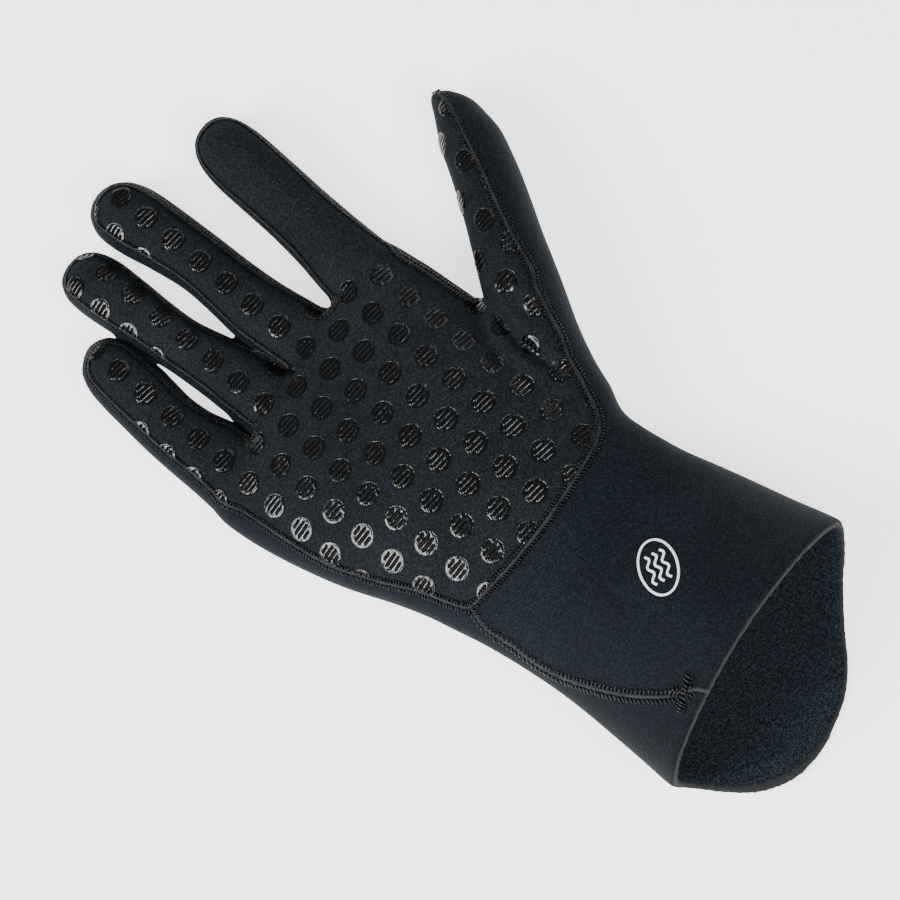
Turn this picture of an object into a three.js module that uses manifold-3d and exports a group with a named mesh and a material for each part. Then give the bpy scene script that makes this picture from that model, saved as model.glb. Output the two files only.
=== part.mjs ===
// Neoprene diving glove for the right hand, lying palm up with its cuff open.
// Millimetres. +X points to the thumb side, +Y along the fingers, +Z up from the floor.
// While the glove is shaped, x = 0 is the middle of the palm and y = 0 the line of the finger roots.
import * as THREE from 'three';
import Module from 'manifold-3d';

const wasm = await Module();
wasm.setup();

// Driving dimensions
const PALM_WIDTH = 107;
const PALM_LENGTH = 102;
const PALM_HEIGHT = 35;
const WRIST_WIDTH = 86;
const WRIST_HEIGHT = 36;
const CUFF_LENGTH = 80;
const MOUTH_WIDTH = 97;
const MOUTH_HEIGHT = 57;
const BACK_RIM_REACH = 26.8;
const WALL = 3.6;
const LINING = 1.1;
const PIECE_GAP = 0.3;
const THUMB_LENGTH = 117.5;
const THUMB_WIDTH = 23.4;
const THUMB_HEIGHT = 25;
const THUMB_SPLAY = THREE.MathUtils.degToRad(35.2);
const INDEX_LENGTH = 87.2;
const MIDDLE_LENGTH = 106.3;
const RING_LENGTH = 102.2;
const LITTLE_LENGTH = 78.6;
const FINGER_WIDTH = 23;
const FINGER_HEIGHT = 20.5;

// How much of the underside's roundness the floor takes away.
const PRESSED_FLAT = 0.035;

// Facets around the lofts
const BODY_SIDES = 26;
const FINGER_SIDES = 12;
const THUMB_SIDES = 14;

// The three stretches of the hand tube. A section's numbers are shares of its own stretch:
// along = of the length from the stretch's start, ulnar and radial = of the half width,
// height = of the height, belt = height of the widest line, top and floor = fullness of the two halves.
const STRETCHES = {
  palm: { start: 0, length: PALM_LENGTH, half: PALM_WIDTH / 2, height: PALM_HEIGHT },
  wrist: { start: -PALM_LENGTH, length: CUFF_LENGTH, half: WRIST_WIDTH / 2, height: WRIST_HEIGHT },
  mouth: { start: -PALM_LENGTH - CUFF_LENGTH, length: CUFF_LENGTH, half: MOUTH_WIDTH / 2, height: MOUTH_HEIGHT },
};

const BODY_SECTIONS = [
  { of: 'palm', along: -0.06, ulnar: -0.90, radial: 0.90, height: 0.46, belt: 0.50, top: 2.3, floor: 3.0 },
  { of: 'palm', along: -0.03, ulnar: -0.955, radial: 0.955, height: 0.62, belt: 0.48, top: 2.6, floor: 3.0 },
  { of: 'palm', along: 0.02, ulnar: -1.0, radial: 0.995, height: 0.71, belt: 0.47, top: 2.8, floor: 3.2 },
  { of: 'palm', along: 0.12, ulnar: -1.02, radial: 1.01, height: 0.79, belt: 0.46, top: 2.8, floor: 3.2 },
  { of: 'palm', along: 0.26, ulnar: -1.01, radial: 1.0, height: 0.87, belt: 0.45, top: 2.7, floor: 3.2 },
  { of: 'palm', along: 0.40, ulnar: -0.975, radial: 0.985, height: 0.93, belt: 0.45, top: 2.6, floor: 3.2 },
  { of: 'palm', along: 0.54, ulnar: -0.925, radial: 0.972, height: 0.98, belt: 0.45, top: 2.5, floor: 3.2 },
  { of: 'palm', along: 0.68, ulnar: -0.86, radial: 0.96, height: 1.0, belt: 0.46, top: 2.4, floor: 3.1 },
  { of: 'palm', along: 0.80, ulnar: -0.81, radial: 0.94, height: 1.01, belt: 0.46, top: 2.3, floor: 3.0 },
  { of: 'wrist', along: -0.13, ulnar: -0.975, radial: 1.14, height: 0.985, belt: 0.46, top: 2.25, floor: 2.9 },
  { of: 'wrist', along: 0.0, ulnar: -0.945, radial: 1.06, height: 0.985, belt: 0.46, top: 2.2, floor: 2.8 },
  { of: 'wrist', along: 0.13, ulnar: -0.935, radial: 1.045, height: 1.0, belt: 0.46, top: 2.15, floor: 2.7 },
  { of: 'wrist', along: 0.29, ulnar: -0.937, radial: 1.044, height: 1.07, belt: 0.45, top: 2.1, floor: 2.6 },
  { of: 'wrist', along: 0.44, ulnar: -0.947, radial: 1.074, height: 1.17, belt: 0.44, top: 2.0, floor: 2.5 },
  { of: 'mouth', along: -0.37, ulnar: -0.865, radial: 0.992, height: 0.84, belt: 0.42, top: 1.9, floor: 2.45 },
  { of: 'mouth', along: -0.18, ulnar: -0.897, radial: 1.026, height: 0.93, belt: 0.40, top: 1.8, floor: 2.4 },
  { of: 'mouth', along: 0.0, ulnar: -0.938, radial: 1.058, height: 1.0, belt: 0.39, top: 1.75, floor: 2.35 },
  { of: 'mouth', along: 0.20, ulnar: -0.95, radial: 1.07, height: 1.04, belt: 0.38, top: 1.75, floor: 2.3 },
  { of: 'mouth', along: 0.46, ulnar: -0.95, radial: 1.07, height: 1.06, belt: 0.38, top: 1.75, floor: 2.3 },
];

// How far the back edge of the mouth reaches past the palm edge, across the half width of the mouth.
const RIM_LOBE = [
  { across: -1.0, reach: 0.0 },
  { across: -0.94, reach: 0.34 },
  { across: -0.86, reach: 0.65 },
  { across: -0.75, reach: 0.85 },
  { across: -0.52, reach: 1.0 },
  { across: -0.27, reach: 1.04 },
  { across: -0.08, reach: 1.0 },
  { across: 0.08, reach: 0.93 },
  { across: 0.26, reach: 0.76 },
  { across: 0.47, reach: 0.48 },
  { across: 0.70, reach: 0.25 },
  { across: 0.90, reach: 0.12 },
  { across: 1.0, reach: 0.0 },
];
const RIM_CORNER = 0.42;

// A finger leans from its root to its tip. along = of its length, side = of its width,
// width, height and lift = of its width and height.
const FINGERS = {
  index: {
    root: 0.367, lean: 10.85, length: INDEX_LENGTH, seams: { ulnar: 34, radial: 26 },
    sections: [
      { along: -0.14, side: 0.0, width: 1.02, height: 1.04, lift: 0.0 },
      { along: 0.0, side: 0.01, width: 1.16, height: 1.12, lift: 0.0 },
      { along: 0.12, side: 0.01, width: 1.14, height: 1.08, lift: 0.0 },
      { along: 0.26, side: 0.01, width: 1.07, height: 1.0, lift: 0.0 },
      { along: 0.43, side: 0.0, width: 1.02, height: 0.98, lift: 0.0 },
      { along: 0.62, side: 0.0, width: 1.02, height: 1.0, lift: 0.02 },
      { along: 0.78, side: 0.0, width: 1.01, height: 0.97, lift: 0.04 },
      { along: 0.88, side: 0.0, width: 0.90, height: 0.87, lift: 0.06 },
      { along: 0.95, side: 0.0, width: 0.67, height: 0.68, lift: 0.10 },
      { along: 0.985, side: 0.0, width: 0.42, height: 0.45, lift: 0.16 },
      { along: 1.0, side: 0.0, width: 0.16, height: 0.20, lift: 0.25 },
    ],
  },
  middle: {
    root: 0.116, lean: 1.5, length: MIDDLE_LENGTH, seams: { ulnar: 42, radial: 34 },
    sections: [
      { along: -0.12, side: -0.02, width: 1.02, height: 1.06, lift: 0.0 },
      { along: 0.0, side: -0.03, width: 1.08, height: 1.14, lift: 0.0 },
      { along: 0.12, side: -0.06, width: 1.08, height: 1.10, lift: 0.0 },
      { along: 0.27, side: -0.06, width: 1.03, height: 1.04, lift: 0.0 },
      { along: 0.42, side: 0.0, width: 0.945, height: 0.98, lift: 0.0 },
      { along: 0.55, side: 0.05, width: 0.93, height: 0.96, lift: 0.0 },
      { along: 0.70, side: 0.06, width: 1.0, height: 1.0, lift: 0.0 },
      { along: 0.82, side: 0.04, width: 1.06, height: 1.0, lift: 0.01 },
      { along: 0.90, side: 0.02, width: 0.98, height: 0.92, lift: 0.03 },
      { along: 0.955, side: 0.01, width: 0.73, height: 0.72, lift: 0.08 },
      { along: 0.987, side: 0.0, width: 0.44, height: 0.46, lift: 0.15 },
      { along: 1.0, side: 0.0, width: 0.16, height: 0.20, lift: 0.25 },
    ],
  },
  ring: {
    root: -0.112, lean: 0.95, length: RING_LENGTH, seams: { ulnar: 44, radial: 28 },
    sections: [
      { along: -0.12, side: 0.0, width: 1.0, height: 1.04, lift: 0.0 },
      { along: 0.0, side: 0.0, width: 1.06, height: 1.12, lift: 0.0 },
      { along: 0.14, side: 0.0, width: 1.04, height: 1.08, lift: 0.0 },
      { along: 0.28, side: -0.01, width: 0.96, height: 1.0, lift: 0.0 },
      { along: 0.46, side: -0.04, width: 0.84, height: 0.94, lift: 0.0 },
      { along: 0.60, side: -0.02, width: 0.83, height: 0.93, lift: 0.01 },
      { along: 0.74, side: -0.01, width: 0.92, height: 0.97, lift: 0.02 },
      { along: 0.84, side: 0.01, width: 0.95, height: 0.96, lift: 0.03 },
      { along: 0.91, side: 0.01, width: 0.86, height: 0.87, lift: 0.05 },
      { along: 0.96, side: 0.0, width: 0.64, height: 0.67, lift: 0.10 },
      { along: 0.988, side: -0.02, width: 0.38, height: 0.42, lift: 0.16 },
      { along: 1.0, side: -0.03, width: 0.14, height: 0.18, lift: 0.25 },
    ],
  },
  little: {
    root: -0.367, lean: 5.2, length: LITTLE_LENGTH, seams: { ulnar: 50, radial: 28 },
    sections: [
      { along: -0.16, side: 0.02, width: 1.0, height: 1.0, lift: 0.0 },
      { along: 0.0, side: 0.0, width: 1.19, height: 1.08, lift: 0.0 },
      { along: 0.18, side: 0.0, width: 1.17, height: 1.04, lift: 0.0 },
      { along: 0.34, side: -0.04, width: 1.05, height: 0.98, lift: 0.0 },
      { along: 0.47, side: -0.04, width: 1.0, height: 0.95, lift: 0.0 },
      { along: 0.60, side: 0.0, width: 1.01, height: 0.96, lift: 0.01 },
      { along: 0.73, side: 0.03, width: 1.0, height: 0.96, lift: 0.02 },
      { along: 0.84, side: 0.05, width: 0.93, height: 0.90, lift: 0.04 },
      { along: 0.92, side: 0.07, width: 0.76, height: 0.76, lift: 0.08 },
      { along: 0.975, side: 0.08, width: 0.47, height: 0.48, lift: 0.15 },
      { along: 1.0, side: 0.08, width: 0.16, height: 0.20, lift: 0.25 },
    ],
  },
};

// The thumb starts inside the heel of the palm and leans out by its splay. centre = height of its axis,
// as a share of its height. upper and lower = directions of its two seams round the axis, in degrees.
const THUMB_BASE = { across: 0.396, along: 0.811 };
const THUMB_SECTIONS = [
  { along: 0.0, side: -0.19, width: 0.98, height: 0.98, centre: 0.68, upper: 44, lower: 185 },
  { along: 0.11, side: -0.16, width: 1.16, height: 1.10, centre: 0.73, upper: 44, lower: 185 },
  { along: 0.255, side: -0.115, width: 1.15, height: 1.08, centre: 0.75, upper: 48, lower: 190 },
  { along: 0.366, side: -0.08, width: 1.09, height: 1.04, centre: 0.75, upper: 60, lower: 225 },
  { along: 0.46, side: -0.05, width: 1.02, height: 1.016, centre: 0.73, upper: 70, lower: 236 },
  { along: 0.56, side: -0.015, width: 0.985, height: 1.0, centre: 0.68, upper: 78, lower: 240 },
  { along: 0.66, side: 0.0, width: 0.97, height: 0.985, centre: 0.63, upper: 82, lower: 240 },
  { along: 0.74, side: -0.005, width: 0.93, height: 0.945, centre: 0.585, upper: 86, lower: 240 },
  { along: 0.81, side: -0.02, width: 0.88, height: 0.87, centre: 0.545, upper: 88, lower: 240 },
  { along: 0.868, side: -0.05, width: 0.76, height: 0.76, centre: 0.505, upper: 88, lower: 240 },
  { along: 0.928, side: -0.09, width: 0.61, height: 0.61, centre: 0.47, upper: 88, lower: 240 },
  { along: 0.97, side: -0.17, width: 0.42, height: 0.42, centre: 0.45, upper: 90, lower: 240 },
  { along: 1.0, side: -0.26, width: 0.14, height: 0.17, centre: 0.44, upper: 90, lower: 240 },
];

// Seams of the palm: across the half width of the palm, from the finger roots to the wrist.
const PALM_SEAMS = [
  { along: -0.02, ulnar: -0.885, radial: 0.955 },
  { along: 0.14, ulnar: -0.88, radial: 0.965 },
  { along: 0.31, ulnar: -0.88, radial: 0.955 },
  { along: 0.45, ulnar: -0.865, radial: 0.95 },
  { along: 0.60, ulnar: -0.805, radial: 0.95 },
  { along: 0.77, ulnar: -0.70, radial: 0.92 },
  { along: 0.90, ulnar: -0.645, radial: 0.86 },
  { along: 1.06, ulnar: -0.55, radial: 0.76 },
];

// Edge of the palm at the wrist: across the half width of the palm, along its length.
const WRIST_SEAM = [
  { across: -0.62, along: 0.945 },
  { across: -0.55, along: 0.957 },
  { across: -0.27, along: 0.999 },
  { across: 0.04, along: 1.025 },
  { across: 0.35, along: 1.028 },
  { across: 0.62, along: 1.022 },
  { across: 0.775, along: 0.984 },
  { across: 0.888, along: 0.903 },
  { across: 0.975, along: 0.79 },
  { across: 1.055, along: 0.725 },
  { across: 1.13, along: 0.656 },
  { across: 1.24, along: 0.567 },
];

// Reads one column of a table at a place, on a smooth curve through the rows.
function columnAt(table, key, place, column) {
  const last = table.length - 1;
  if (place <= table[0][key]) {
    return table[0][column];
  }
  if (place >= table[last][key]) {
    return table[last][column];
  }
  let i = 0;
  while (table[i + 1][key] < place) {
    i += 1;
  }
  const span = table[i + 1][key] - table[i][key];
  const slopeAt = (j) => {
    const before = Math.max(j - 1, 0);
    const after = Math.min(j + 1, last);
    return (table[after][column] - table[before][column]) / (table[after][key] - table[before][key]);
  };
  const u = (place - table[i][key]) / span;
  const rise = u * u * (3 - 2 * u);
  const leave = u * (1 - u) * (1 - u) * span * slopeAt(i);
  const arrive = u * u * (1 - u) * span * slopeAt(i + 1);
  return table[i][column] * (1 - rise) + table[i + 1][column] * rise + leave - arrive;
}

// The hand tube's sections in millimetres, from the fingers to the mouth.
function bodyRows() {
  const rows = BODY_SECTIONS.map((section) => {
    const stretch = STRETCHES[section.of];
    return {
      y: stretch.start - section.along * stretch.length,
      ulnar: section.ulnar * stretch.half,
      radial: section.radial * stretch.half,
      height: section.height * stretch.height,
      belt: section.belt,
      top: section.top,
      floor: section.floor,
    };
  });
  return rows.sort((a, b) => a.y - b.y);
}

const BODY_ROWS = bodyRows();
const BODY_END = BODY_ROWS[BODY_ROWS.length - 1].y;
// An inner skin draws back from the finger end over this stretch, so that its rows keep their order.
const FRONT_TAPER = 0.3 * PALM_LENGTH;

// One closed ring: an oval whose two halves have their own fullness, and whose underside is pressed flat.
function ovalRing({ half, up, down, top, floor, sides }) {
  const ring = [];
  for (let i = 0; i < sides; i += 1) {
    const angle = ((i + 0.5) / sides) * 2 * Math.PI;
    const across = Math.cos(angle);
    const rise = Math.sin(angle);
    const power = 2 / (rise >= 0 ? top : floor);
    const share = Math.abs(rise) ** power;
    ring.push({
      x: half * Math.sign(across) * Math.abs(across) ** power,
      z: rise >= 0 ? up * share : -down * Math.min(share * (1 + PRESSED_FLAT), 1),
    });
  }
  return ring;
}

// Joins rings of points into one closed mesh with fans at both ends.
function loft(rings) {
  const sides = rings[0].length;
  const positions = rings.flat().flatMap((p) => [p.x, p.y, p.z]);
  const index = [];
  for (let i = 0; i + 1 < rings.length; i += 1) {
    for (let j = 0; j < sides; j += 1) {
      const next = (j + 1) % sides;
      const a = i * sides + j;
      const b = i * sides + next;
      const c = a + sides;
      const d = b + sides;
      index.push(a, b, d, a, d, c);
    }
  }
  const addFan = (ring, first, flip) => {
    const middle = new THREE.Vector3();
    ring.forEach((p) => middle.add(p));
    middle.divideScalar(sides);
    const centre = positions.length / 3;
    positions.push(middle.x, middle.y, middle.z);
    for (let j = 0; j < sides; j += 1) {
      const a = first + j;
      const b = first + ((j + 1) % sides);
      index.push(...(flip ? [centre, b, a] : [centre, a, b]));
    }
  };
  addFan(rings[0], 0, true);
  addFan(rings[rings.length - 1], (rings.length - 1) * sides, false);
  const geometry = new THREE.BufferGeometry();
  geometry.setAttribute('position', new THREE.Float32BufferAttribute(positions, 3));
  geometry.setIndex(index);
  return geometry;
}

// Turns a closed, merged geometry into a solid that can be joined and cut, faces out.
function solidOf(geometry) {
  const vertProperties = new Float32Array(geometry.attributes.position.array);
  const triVerts = new Uint32Array(geometry.index.array);
  let volume = 0;
  const corner = (k) => new THREE.Vector3().fromArray(vertProperties, 3 * triVerts[k]);
  for (let k = 0; k < triVerts.length; k += 3) {
    volume += corner(k).dot(corner(k + 1).cross(corner(k + 2))) / 6;
  }
  if (volume < 0) {
    for (let k = 0; k < triVerts.length; k += 3) {
      [triVerts[k + 1], triVerts[k + 2]] = [triVerts[k + 2], triVerts[k + 1]];
    }
  }
  return new wasm.Manifold(new wasm.Mesh({ numProp: 3, vertProperties, triVerts }));
}

function joined(solids) {
  return solids.reduce((whole, solid) => whole.add(solid));
}

// The hand tube, inset from its outer face. It can run past the rim, and can end before the palm.
function bodySolid(inset, { pastRim = 0, end = BODY_END } = {}) {
  const rings = BODY_ROWS.filter((row) => row.y <= end).map((row, i) => {
    const middle = (row.ulnar + row.radial) / 2;
    const half = (row.radial - row.ulnar) / 2 - inset;
    const belt = row.belt * row.height;
    const oval = ovalRing({
      half,
      up: row.height - belt - inset,
      down: belt - inset,
      top: row.top,
      floor: row.floor,
      sides: BODY_SIDES,
    });
    const toFingers = THREE.MathUtils.clamp(1 - (BODY_END - row.y) / FRONT_TAPER, 0, 1);
    const y = row.y - inset * toFingers - (i === 0 ? pastRim : 0);
    return oval.map((p) => new THREE.Vector3(middle + p.x, y, belt + p.z));
  });
  return solidOf(loft(rings));
}

// A finger's own frame: its root on the palm, the way along it and the way across it.
function fingerFrame(finger) {
  const lean = THREE.MathUtils.degToRad(finger.lean);
  return {
    root: new THREE.Vector3(finger.root * PALM_WIDTH, 0, 0),
    along: new THREE.Vector3(Math.sin(lean), Math.cos(lean), 0),
    across: new THREE.Vector3(Math.cos(lean), -Math.sin(lean), 0),
  };
}

function fingerPoint(frame, along, across, z) {
  return frame.root.clone().addScaledVector(frame.along, along).addScaledVector(frame.across, across).setZ(z);
}

function fingerRows(finger) {
  return finger.sections.map((section) => {
    const height = section.height * FINGER_HEIGHT;
    return {
      along: section.along * finger.length,
      side: section.side * FINGER_WIDTH,
      half: (section.width * FINGER_WIDTH) / 2,
      centre: section.lift * FINGER_HEIGHT + height / 2,
      up: height / 2,
    };
  });
}

const FINGER_TOP = 2.5;
const FINGER_FLOOR = 2.9;

// An inner skin has the same tip, moved in by the inset along the finger.
function insetRows(rows, inset, length) {
  return rows.map((row) => {
    const share = Math.max(row.along, 0) / length;
    return { ...row, along: row.along - inset * share };
  });
}

function fingerSolid(finger, inset) {
  const frame = fingerFrame(finger);
  const rows = insetRows(fingerRows(finger), inset, finger.length);
  const full = Math.max(...rows.map((row) => row.half));
  const rings = rows.map((row) => {
    const half = row.half * (1 - inset / full);
    const up = row.up * (1 - inset / (FINGER_HEIGHT / 2));
    const oval = ovalRing({ half, up, down: up, top: FINGER_TOP, floor: FINGER_FLOOR, sides: FINGER_SIDES });
    return oval.map((p) => fingerPoint(frame, row.along, row.side + p.x, row.centre + p.z));
  });
  return solidOf(loft(rings));
}

const THUMB_FRAME = {
  root: new THREE.Vector3(THUMB_BASE.across * PALM_WIDTH, -THUMB_BASE.along * PALM_LENGTH, 0),
  along: new THREE.Vector3(Math.sin(THUMB_SPLAY), Math.cos(THUMB_SPLAY), 0),
  across: new THREE.Vector3(Math.cos(THUMB_SPLAY), -Math.sin(THUMB_SPLAY), 0),
};

function thumbRows() {
  return THUMB_SECTIONS.map((section) => ({
    along: section.along * THUMB_LENGTH,
    side: section.side * THUMB_WIDTH,
    half: (section.width * THUMB_WIDTH) / 2,
    up: (section.height * THUMB_HEIGHT) / 2,
    centre: section.centre * THUMB_HEIGHT,
    upper: THREE.MathUtils.degToRad(section.upper),
    lower: THREE.MathUtils.degToRad(section.lower),
  }));
}

const THUMB_FULLNESS = 2.2;

function thumbSolid(inset) {
  const rows = insetRows(thumbRows(), inset, THUMB_LENGTH);
  const rings = rows.map((row) => {
    const half = row.half * (1 - inset / (THUMB_WIDTH / 2));
    const up = row.up * (1 - inset / (THUMB_HEIGHT / 2));
    const oval = ovalRing({ half, up, down: up, top: THUMB_FULLNESS, floor: THUMB_FULLNESS, sides: THUMB_SIDES });
    return oval.map((p) => fingerPoint(THUMB_FRAME, row.along, row.side + p.x, row.centre + p.z));
  });
  return solidOf(loft(rings));
}

// Everything past the mouth: palm edge nearly square, back edge reaching out in a lobe.
const RIM_COLUMNS = 20;
const RIM_ROWS = 8;
const RIM_ROW_CROWDING = 1.6;
const RIM_BOTTOM = -0.1 * MOUTH_HEIGHT;
const RIM_TOP = 1.6 * MOUTH_HEIGHT;
const CUT_MARGIN = 40;

function rimPlace(x, z) {
  const mouth = bodyRowAt(STRETCHES.mouth.start);
  const middle = (mouth.ulnar + mouth.radial) / 2;
  const half = (mouth.radial - mouth.ulnar) / 2;
  const reach = columnAt(RIM_LOBE, 'across', (x - middle) / half, 'reach') * BACK_RIM_REACH;
  const low = THREE.MathUtils.clamp(z / (RIM_CORNER * MOUTH_HEIGHT), 0, 1);
  return STRETCHES.mouth.start - reach * (0.5 + 0.5 * Math.cos(Math.PI * low));
}

function pastRimSolid(shift) {
  const left = -PALM_WIDTH;
  const right = PALM_WIDTH;
  const end = STRETCHES.mouth.start - BACK_RIM_REACH - 2 * CUT_MARGIN;
  const positions = [];
  const index = [];
  const place = (column, row, far) => ((far ? RIM_ROWS + 1 : 0) + row) * (RIM_COLUMNS + 1) + column;
  for (const far of [false, true]) {
    for (let row = 0; row <= RIM_ROWS; row += 1) {
      for (let column = 0; column <= RIM_COLUMNS; column += 1) {
        const x = left + ((right - left) * column) / RIM_COLUMNS;
        const z = RIM_BOTTOM + (RIM_TOP - RIM_BOTTOM) * (row / RIM_ROWS) ** RIM_ROW_CROWDING;
        positions.push(x, far ? end : rimPlace(x, z) + shift, z);
      }
    }
  }
  const quad = (a, b, c, d) => index.push(a, b, c, a, c, d);
  for (let row = 0; row < RIM_ROWS; row += 1) {
    for (let column = 0; column < RIM_COLUMNS; column += 1) {
      quad(place(column, row), place(column, row + 1), place(column + 1, row + 1), place(column + 1, row));
      quad(
        place(column, row, true),
        place(column + 1, row, true),
        place(column + 1, row + 1, true),
        place(column, row + 1, true),
      );
    }
  }
  for (let column = 0; column < RIM_COLUMNS; column += 1) {
    quad(place(column, 0), place(column + 1, 0), place(column + 1, 0, true), place(column, 0, true));
    quad(
      place(column, RIM_ROWS),
      place(column, RIM_ROWS, true),
      place(column + 1, RIM_ROWS, true),
      place(column + 1, RIM_ROWS),
    );
  }
  for (let row = 0; row < RIM_ROWS; row += 1) {
    quad(place(0, row), place(0, row, true), place(0, row + 1, true), place(0, row + 1));
    quad(
      place(RIM_COLUMNS, row),
      place(RIM_COLUMNS, row + 1),
      place(RIM_COLUMNS, row + 1, true),
      place(RIM_COLUMNS, row, true),
    );
  }
  const geometry = new THREE.BufferGeometry();
  geometry.setAttribute('position', new THREE.Float32BufferAttribute(positions, 3));
  geometry.setIndex(index);
  return solidOf(geometry);
}

// The front tools cover what belongs to the palm panel. Their faces stand square to the walls at the seams.
const TOOL_TOP = 60;
const TOOL_SIDE_CLEARANCE = 0.45;
const TOOL_PAST_TIP = 2;
const PALM_SEAM_TILT = THREE.MathUtils.degToRad(48);
const PALM_SEAM_DEPTH = 9;

function everySecond(rows) {
  return rows.filter((row, i) => i % 2 === 0 || i === rows.length - 1);
}

function fingerFront(finger, grow) {
  const frame = fingerFrame(finger);
  const ulnar = Math.tan(THREE.MathUtils.degToRad(finger.seams.ulnar));
  const radial = Math.tan(THREE.MathUtils.degToRad(finger.seams.radial));
  const rows = everySecond(fingerRows(finger));
  const full = Math.max(...rows.map((row) => row.half));
  const tipStart = finger.length - full;
  const last = rows[rows.length - 1];
  const reachPast = { ...last, along: last.along + TOOL_PAST_TIP };
  const rings = [...rows, reachPast].map((row) => {
    const wide = Math.max(row.half, full / 2) + TOOL_SIDE_CLEARANCE;
    const past = Math.max(row.along - tipStart, 0);
    const slant = (ulnar + radial) / 2;
    const base = FINGER_HEIGHT / 2 - grow;
    const rise = (x) => base + Math.hypot(past, x) * (past > 0 ? slant : x < 0 ? ulnar : radial);
    const path = [
      [-wide, TOOL_TOP],
      [-wide, rise(-wide)],
      [-wide / 2, rise(-wide / 2)],
      [0, rise(0)],
      [wide / 2, rise(wide / 2)],
      [wide, rise(wide)],
      [wide, TOOL_TOP],
    ];
    return path.map(([across, z]) => fingerPoint(frame, row.along, row.side + across, z));
  });
  return solidOf(loft(rings)).intersect(fingerSolid(finger, -TOOL_SIDE_CLEARANCE));
}

function thumbFront(grow) {
  const rows = thumbRows();
  const reach = THUMB_WIDTH;
  const last = rows[rows.length - 1];
  const rings = [...rows, { ...last, along: last.along + TOOL_PAST_TIP }].map((row) => {
    const out = Math.max(row.half, THUMB_WIDTH / 4) + TOOL_SIDE_CLEARANCE;
    const upX = reach * Math.cos(row.upper);
    const upZ = reach * Math.sin(row.upper);
    const downZ = Math.max(-reach, -out * Math.tan(row.lower - Math.PI));
    const downX = downZ > -reach ? -out : -reach / Math.tan(row.lower - Math.PI);
    const path = [
      [grow, -grow],
      [upX + grow, upZ],
      [-out, upZ],
      [-out, downZ - grow],
      [downX + grow, downZ - grow],
    ];
    return path.map(([across, z]) => fingerPoint(THUMB_FRAME, row.along, row.side + across, row.centre + z));
  });
  return solidOf(loft(rings));
}

// Height of the hand tube's outer face over a place on its palm side.
function topHeight(row, x) {
  const middle = (row.ulnar + row.radial) / 2;
  const half = (row.radial - row.ulnar) / 2;
  const share = Math.min(Math.abs(x - middle) / half, 1);
  const belt = row.belt * row.height;
  return belt + (row.height - belt) * (1 - share ** row.top) ** (1 / row.top);
}

function bodyRowAt(y) {
  const row = { y };
  for (const column of ['ulnar', 'radial', 'height', 'belt', 'top', 'floor']) {
    row[column] = columnAt(BODY_ROWS, 'y', y, column);
  }
  return row;
}

function palmFront(grow) {
  const out = 3 * WALL;
  const rings = PALM_SEAMS.map((seam) => {
    const y = -seam.along * PALM_LENGTH;
    const row = bodyRowAt(y);
    const left = (seam.ulnar * PALM_WIDTH) / 2 - grow;
    const right = (seam.radial * PALM_WIDTH) / 2 + grow;
    const leftZ = topHeight(row, left);
    const rightZ = topHeight(row, right);
    const run = Math.cos(PALM_SEAM_TILT);
    const rise = Math.sin(PALM_SEAM_TILT);
    const path = [
      [left - out * run, TOOL_TOP],
      [left - out * run, leftZ + out * rise],
      [left + PALM_SEAM_DEPTH * run, leftZ - PALM_SEAM_DEPTH * rise],
      [right - PALM_SEAM_DEPTH * run, rightZ - PALM_SEAM_DEPTH * rise],
      [right + out * run, rightZ + out * rise],
      [right + out * run, TOOL_TOP],
    ];
    return path.map(([x, z]) => new THREE.Vector3(x, y, z));
  });
  return solidOf(loft(rings));
}

// Everything on the finger side of the wrist seam.
function beforeWristSeam(grow) {
  const seam = WRIST_SEAM.map((row) => new THREE.Vector2((row.across * PALM_WIDTH) / 2, -row.along * PALM_LENGTH));
  const points = seam.map((point, i) => {
    const before = seam[Math.max(i - 1, 0)];
    const after = seam[Math.min(i + 1, seam.length - 1)];
    const way = after.clone().sub(before).normalize();
    return point.clone().add(new THREE.Vector2(way.y, -way.x).multiplyScalar(grow));
  });
  const first = points[0];
  const last = points[points.length - 1];
  const shape = new THREE.Shape();
  const side = PALM_WIDTH + THUMB_LENGTH;
  shape.moveTo(-side, first.y);
  shape.lineTo(first.x, first.y);
  shape.splineThru(points.slice(1));
  shape.lineTo(side, last.y);
  shape.lineTo(side, 2 * MIDDLE_LENGTH);
  shape.lineTo(-side, 2 * MIDDLE_LENGTH);
  shape.closePath();
  const prism = new THREE.ExtrudeGeometry(shape, { depth: 2 * TOOL_TOP, bevelEnabled: false, curveSegments: 20 });
  return solidOf(merged(prism));
}

// Keeps only positions and joins the corners that share a place.
function merged(geometry) {
  const source = (geometry.index ? geometry.toNonIndexed() : geometry).attributes.position;
  const seen = new Map();
  const positions = [];
  const index = [];
  for (let i = 0; i < source.count; i += 1) {
    const p = [source.getX(i), source.getY(i), source.getZ(i)];
    const key = p.map((v) => v.toFixed(4)).join(' ');
    if (!seen.has(key)) {
      seen.set(key, positions.length / 3);
      positions.push(...p);
    }
    index.push(seen.get(key));
  }
  const result = new THREE.BufferGeometry();
  result.setAttribute('position', new THREE.Float32BufferAttribute(positions, 3));
  result.setIndex(index);
  return result;
}

function frontTool(grow) {
  const fingers = Object.values(FINGERS).map((finger) => fingerFront(finger, grow));
  return joined([palmFront(grow), thumbFront(grow), ...fingers]).intersect(beforeWristSeam(grow));
}

function handSolid(inset, options) {
  const fingers = Object.values(FINGERS).map((finger) => fingerSolid(finger, inset));
  return joined([bodySolid(inset, options), thumbSolid(inset), ...fingers]);
}

// The neoprene shell, open at the mouth.
const shell = handSolid(0).subtract(handSolid(WALL, { pastRim: CUT_MARGIN })).subtract(pastRimSolid(0));
const palmPanel = shell.intersect(frontTool(0));
const backPanel = shell.subtract(frontTool(PIECE_GAP));

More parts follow.
